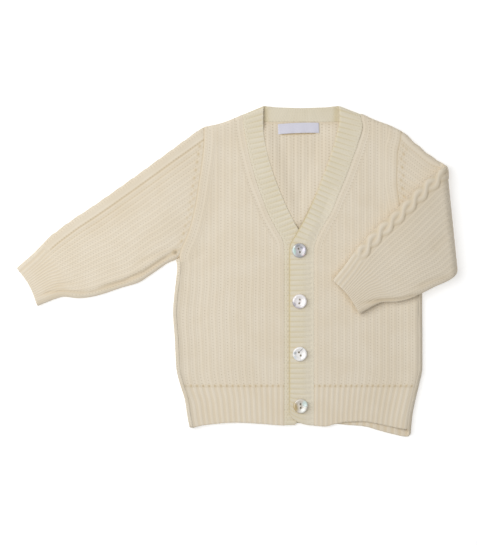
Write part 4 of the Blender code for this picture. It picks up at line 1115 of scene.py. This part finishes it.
def tied():
    """Thread through a button's holes: three strands that lie side by side over the bar between them."""
    shape = bmesh.new()
    for off in (-0.42, 0, 0.42):
        ring = bmesh.ops.create_circle(shape, segments=8, radius=0.24)["verts"]
        bmesh.ops.rotate(shape, verts=ring, cent=(0, 0, 0), matrix=Matrix.Rotation(np.pi / 2, 3, "X"))
        bmesh.ops.translate(shape, verts=ring, vec=(HOLE_APART / 2 + 0.1, off, 0.55))
        loop = [e for e in shape.edges if all(v in ring for v in e.verts)]
        bmesh.ops.spin(shape, geom=ring + loop, cent=(0, off, 0.55), axis=(0, -1, 0), angle=np.pi, steps=18)
    bmesh.ops.scale(shape, verts=shape.verts, vec=(1, 1, 0.62))
    bmesh.ops.recalc_face_normals(shape, faces=shape.faces)
    return shape


def buttons():
    base = OVER_Z + CLOTH / 2 + UNDER_LAP + GAP
    for number, ((x, y, turn), (colour, patches)) in enumerate(zip(BUTTON_PLACES, PEARL), 1):
        shade = pearl(number, colour, (np.array((x, y, base)) - SHIFT) / METRE, patches)
        finished(f"pearl_button_{number}", disc(), (x, y, base), turn, shade,
                 f"button_{number}")
        finished(f"button_thread_{number}", tied(), (x, y, base + THREAD_UP), turn, THREAD, None)


def label():
    """A satin label, its ends lying down on the cloth and its lower edge a little off it."""
    shape = bmesh.new()
    bmesh.ops.create_grid(shape, x_segments=60, y_segments=20, size=0.5)
    for point in shape.verts:
        x, y, _ = point.co
        ends = 1 - (2 * abs(x)) ** 6
        wave = 0.12 * np.sin(x * LABEL_WIDE * 0.45) * (0.5 - y)
        arch = 0.35 - 0.7 * (2 * x) ** 2
        point.co = (x * LABEL_WIDE, y * LABEL_HIGH + arch, (0.10 + 0.45 * (0.5 - y) ** 2 + wave) * ends)
    bmesh.ops.solidify(shape, geom=list(shape.faces), thickness=-0.45)
    bmesh.ops.recalc_face_normals(shape, faces=shape.faces)
    ease = [e for e in shape.edges if len(e.link_faces) == 2 and e.calc_face_angle(0) > 1.0]
    bmesh.ops.bevel(shape, geom=ease, offset=0.12, segments=2, profile=0.5, affect="EDGES", material=-1)
    place = (LABEL_X, LABEL_Y, CLOTH + GAP + 0.15)
    return finished("satin_label", shape, place, LABEL_TILT, SATIN, "neck_label")


# ---- floor, light and camera ----

def floor():
    shape = bmesh.new()
    bmesh.ops.create_grid(shape, x_segments=4, y_segments=4, size=3.0)
    mesh = meshed("floor", shape)
    mesh.materials.append(floor_shade())
    piece = placed("floor", mesh)
    piece.location.z = -0.0002


def lights():
    world = bpy.data.worlds.new("studio")
    bpy.context.scene.world = world
    world.use_nodes = True
    background = world.node_tree.nodes["Background"].inputs
    background["Color"].default_value = (1, 1, 1, 1)
    background["Strength"].default_value = 0.37
    for name, place, size, power in LAMPS:
        light = bpy.data.lights.new(name, "AREA")
        light.shape, light.size, light.energy = "DISK", size, power
        lamp = placed(name, light)
        lamp.location = place
        lamp.rotation_euler = Vector(place).to_track_quat("Z", "Y").to_euler()


def camera():
    lens = bpy.data.cameras.new("above")
    lens.sensor_fit, lens.sensor_height = "VERTICAL", 24.0
    lens.lens = lens.sensor_height * CAMERA_HIGH * METRE / FRAME_HIGH
    lens.clip_start, lens.clip_end = 0.05, 20.0
    eye = placed("above", lens)
    x, y, _ = (np.array((FRAME_X, FRAME_Y, 0)) - SHIFT) / METRE
    eye.location = (x, y, CAMERA_HIGH + 0.005)
    bpy.context.scene.camera = eye


WOOL = wool("cream_wool", (0.81, 0.725, 0.59, 1), (0.69, 0.56, 0.37, 1), 0.3, 0.33)
BAND_WOOL = wool("cream_band", (0.795, 0.73, 0.59, 1), (0.66, 0.56, 0.34, 1), 0.5, 0.62)
SATIN = satin()
THREAD = thread_shade()

camera()
lights()
floor()
back = knitted("back", (64, 82, 3), back_form, WOOL)
right_front = knitted("right_front", (27, 87, 4), partial(front_form, "left"), WOOL)
left_front = knitted("left_front", (27, 87, 4), partial(front_form, "right"), WOOL)
spread = right_sleeve()
folded = left_sleeve()
band = knitted("front_band", (9, 218, 4), band_form, BAND_WOOL)
buttons()
sewn_label = label()

bpy.context.scene.view_settings.view_transform = "Standard"
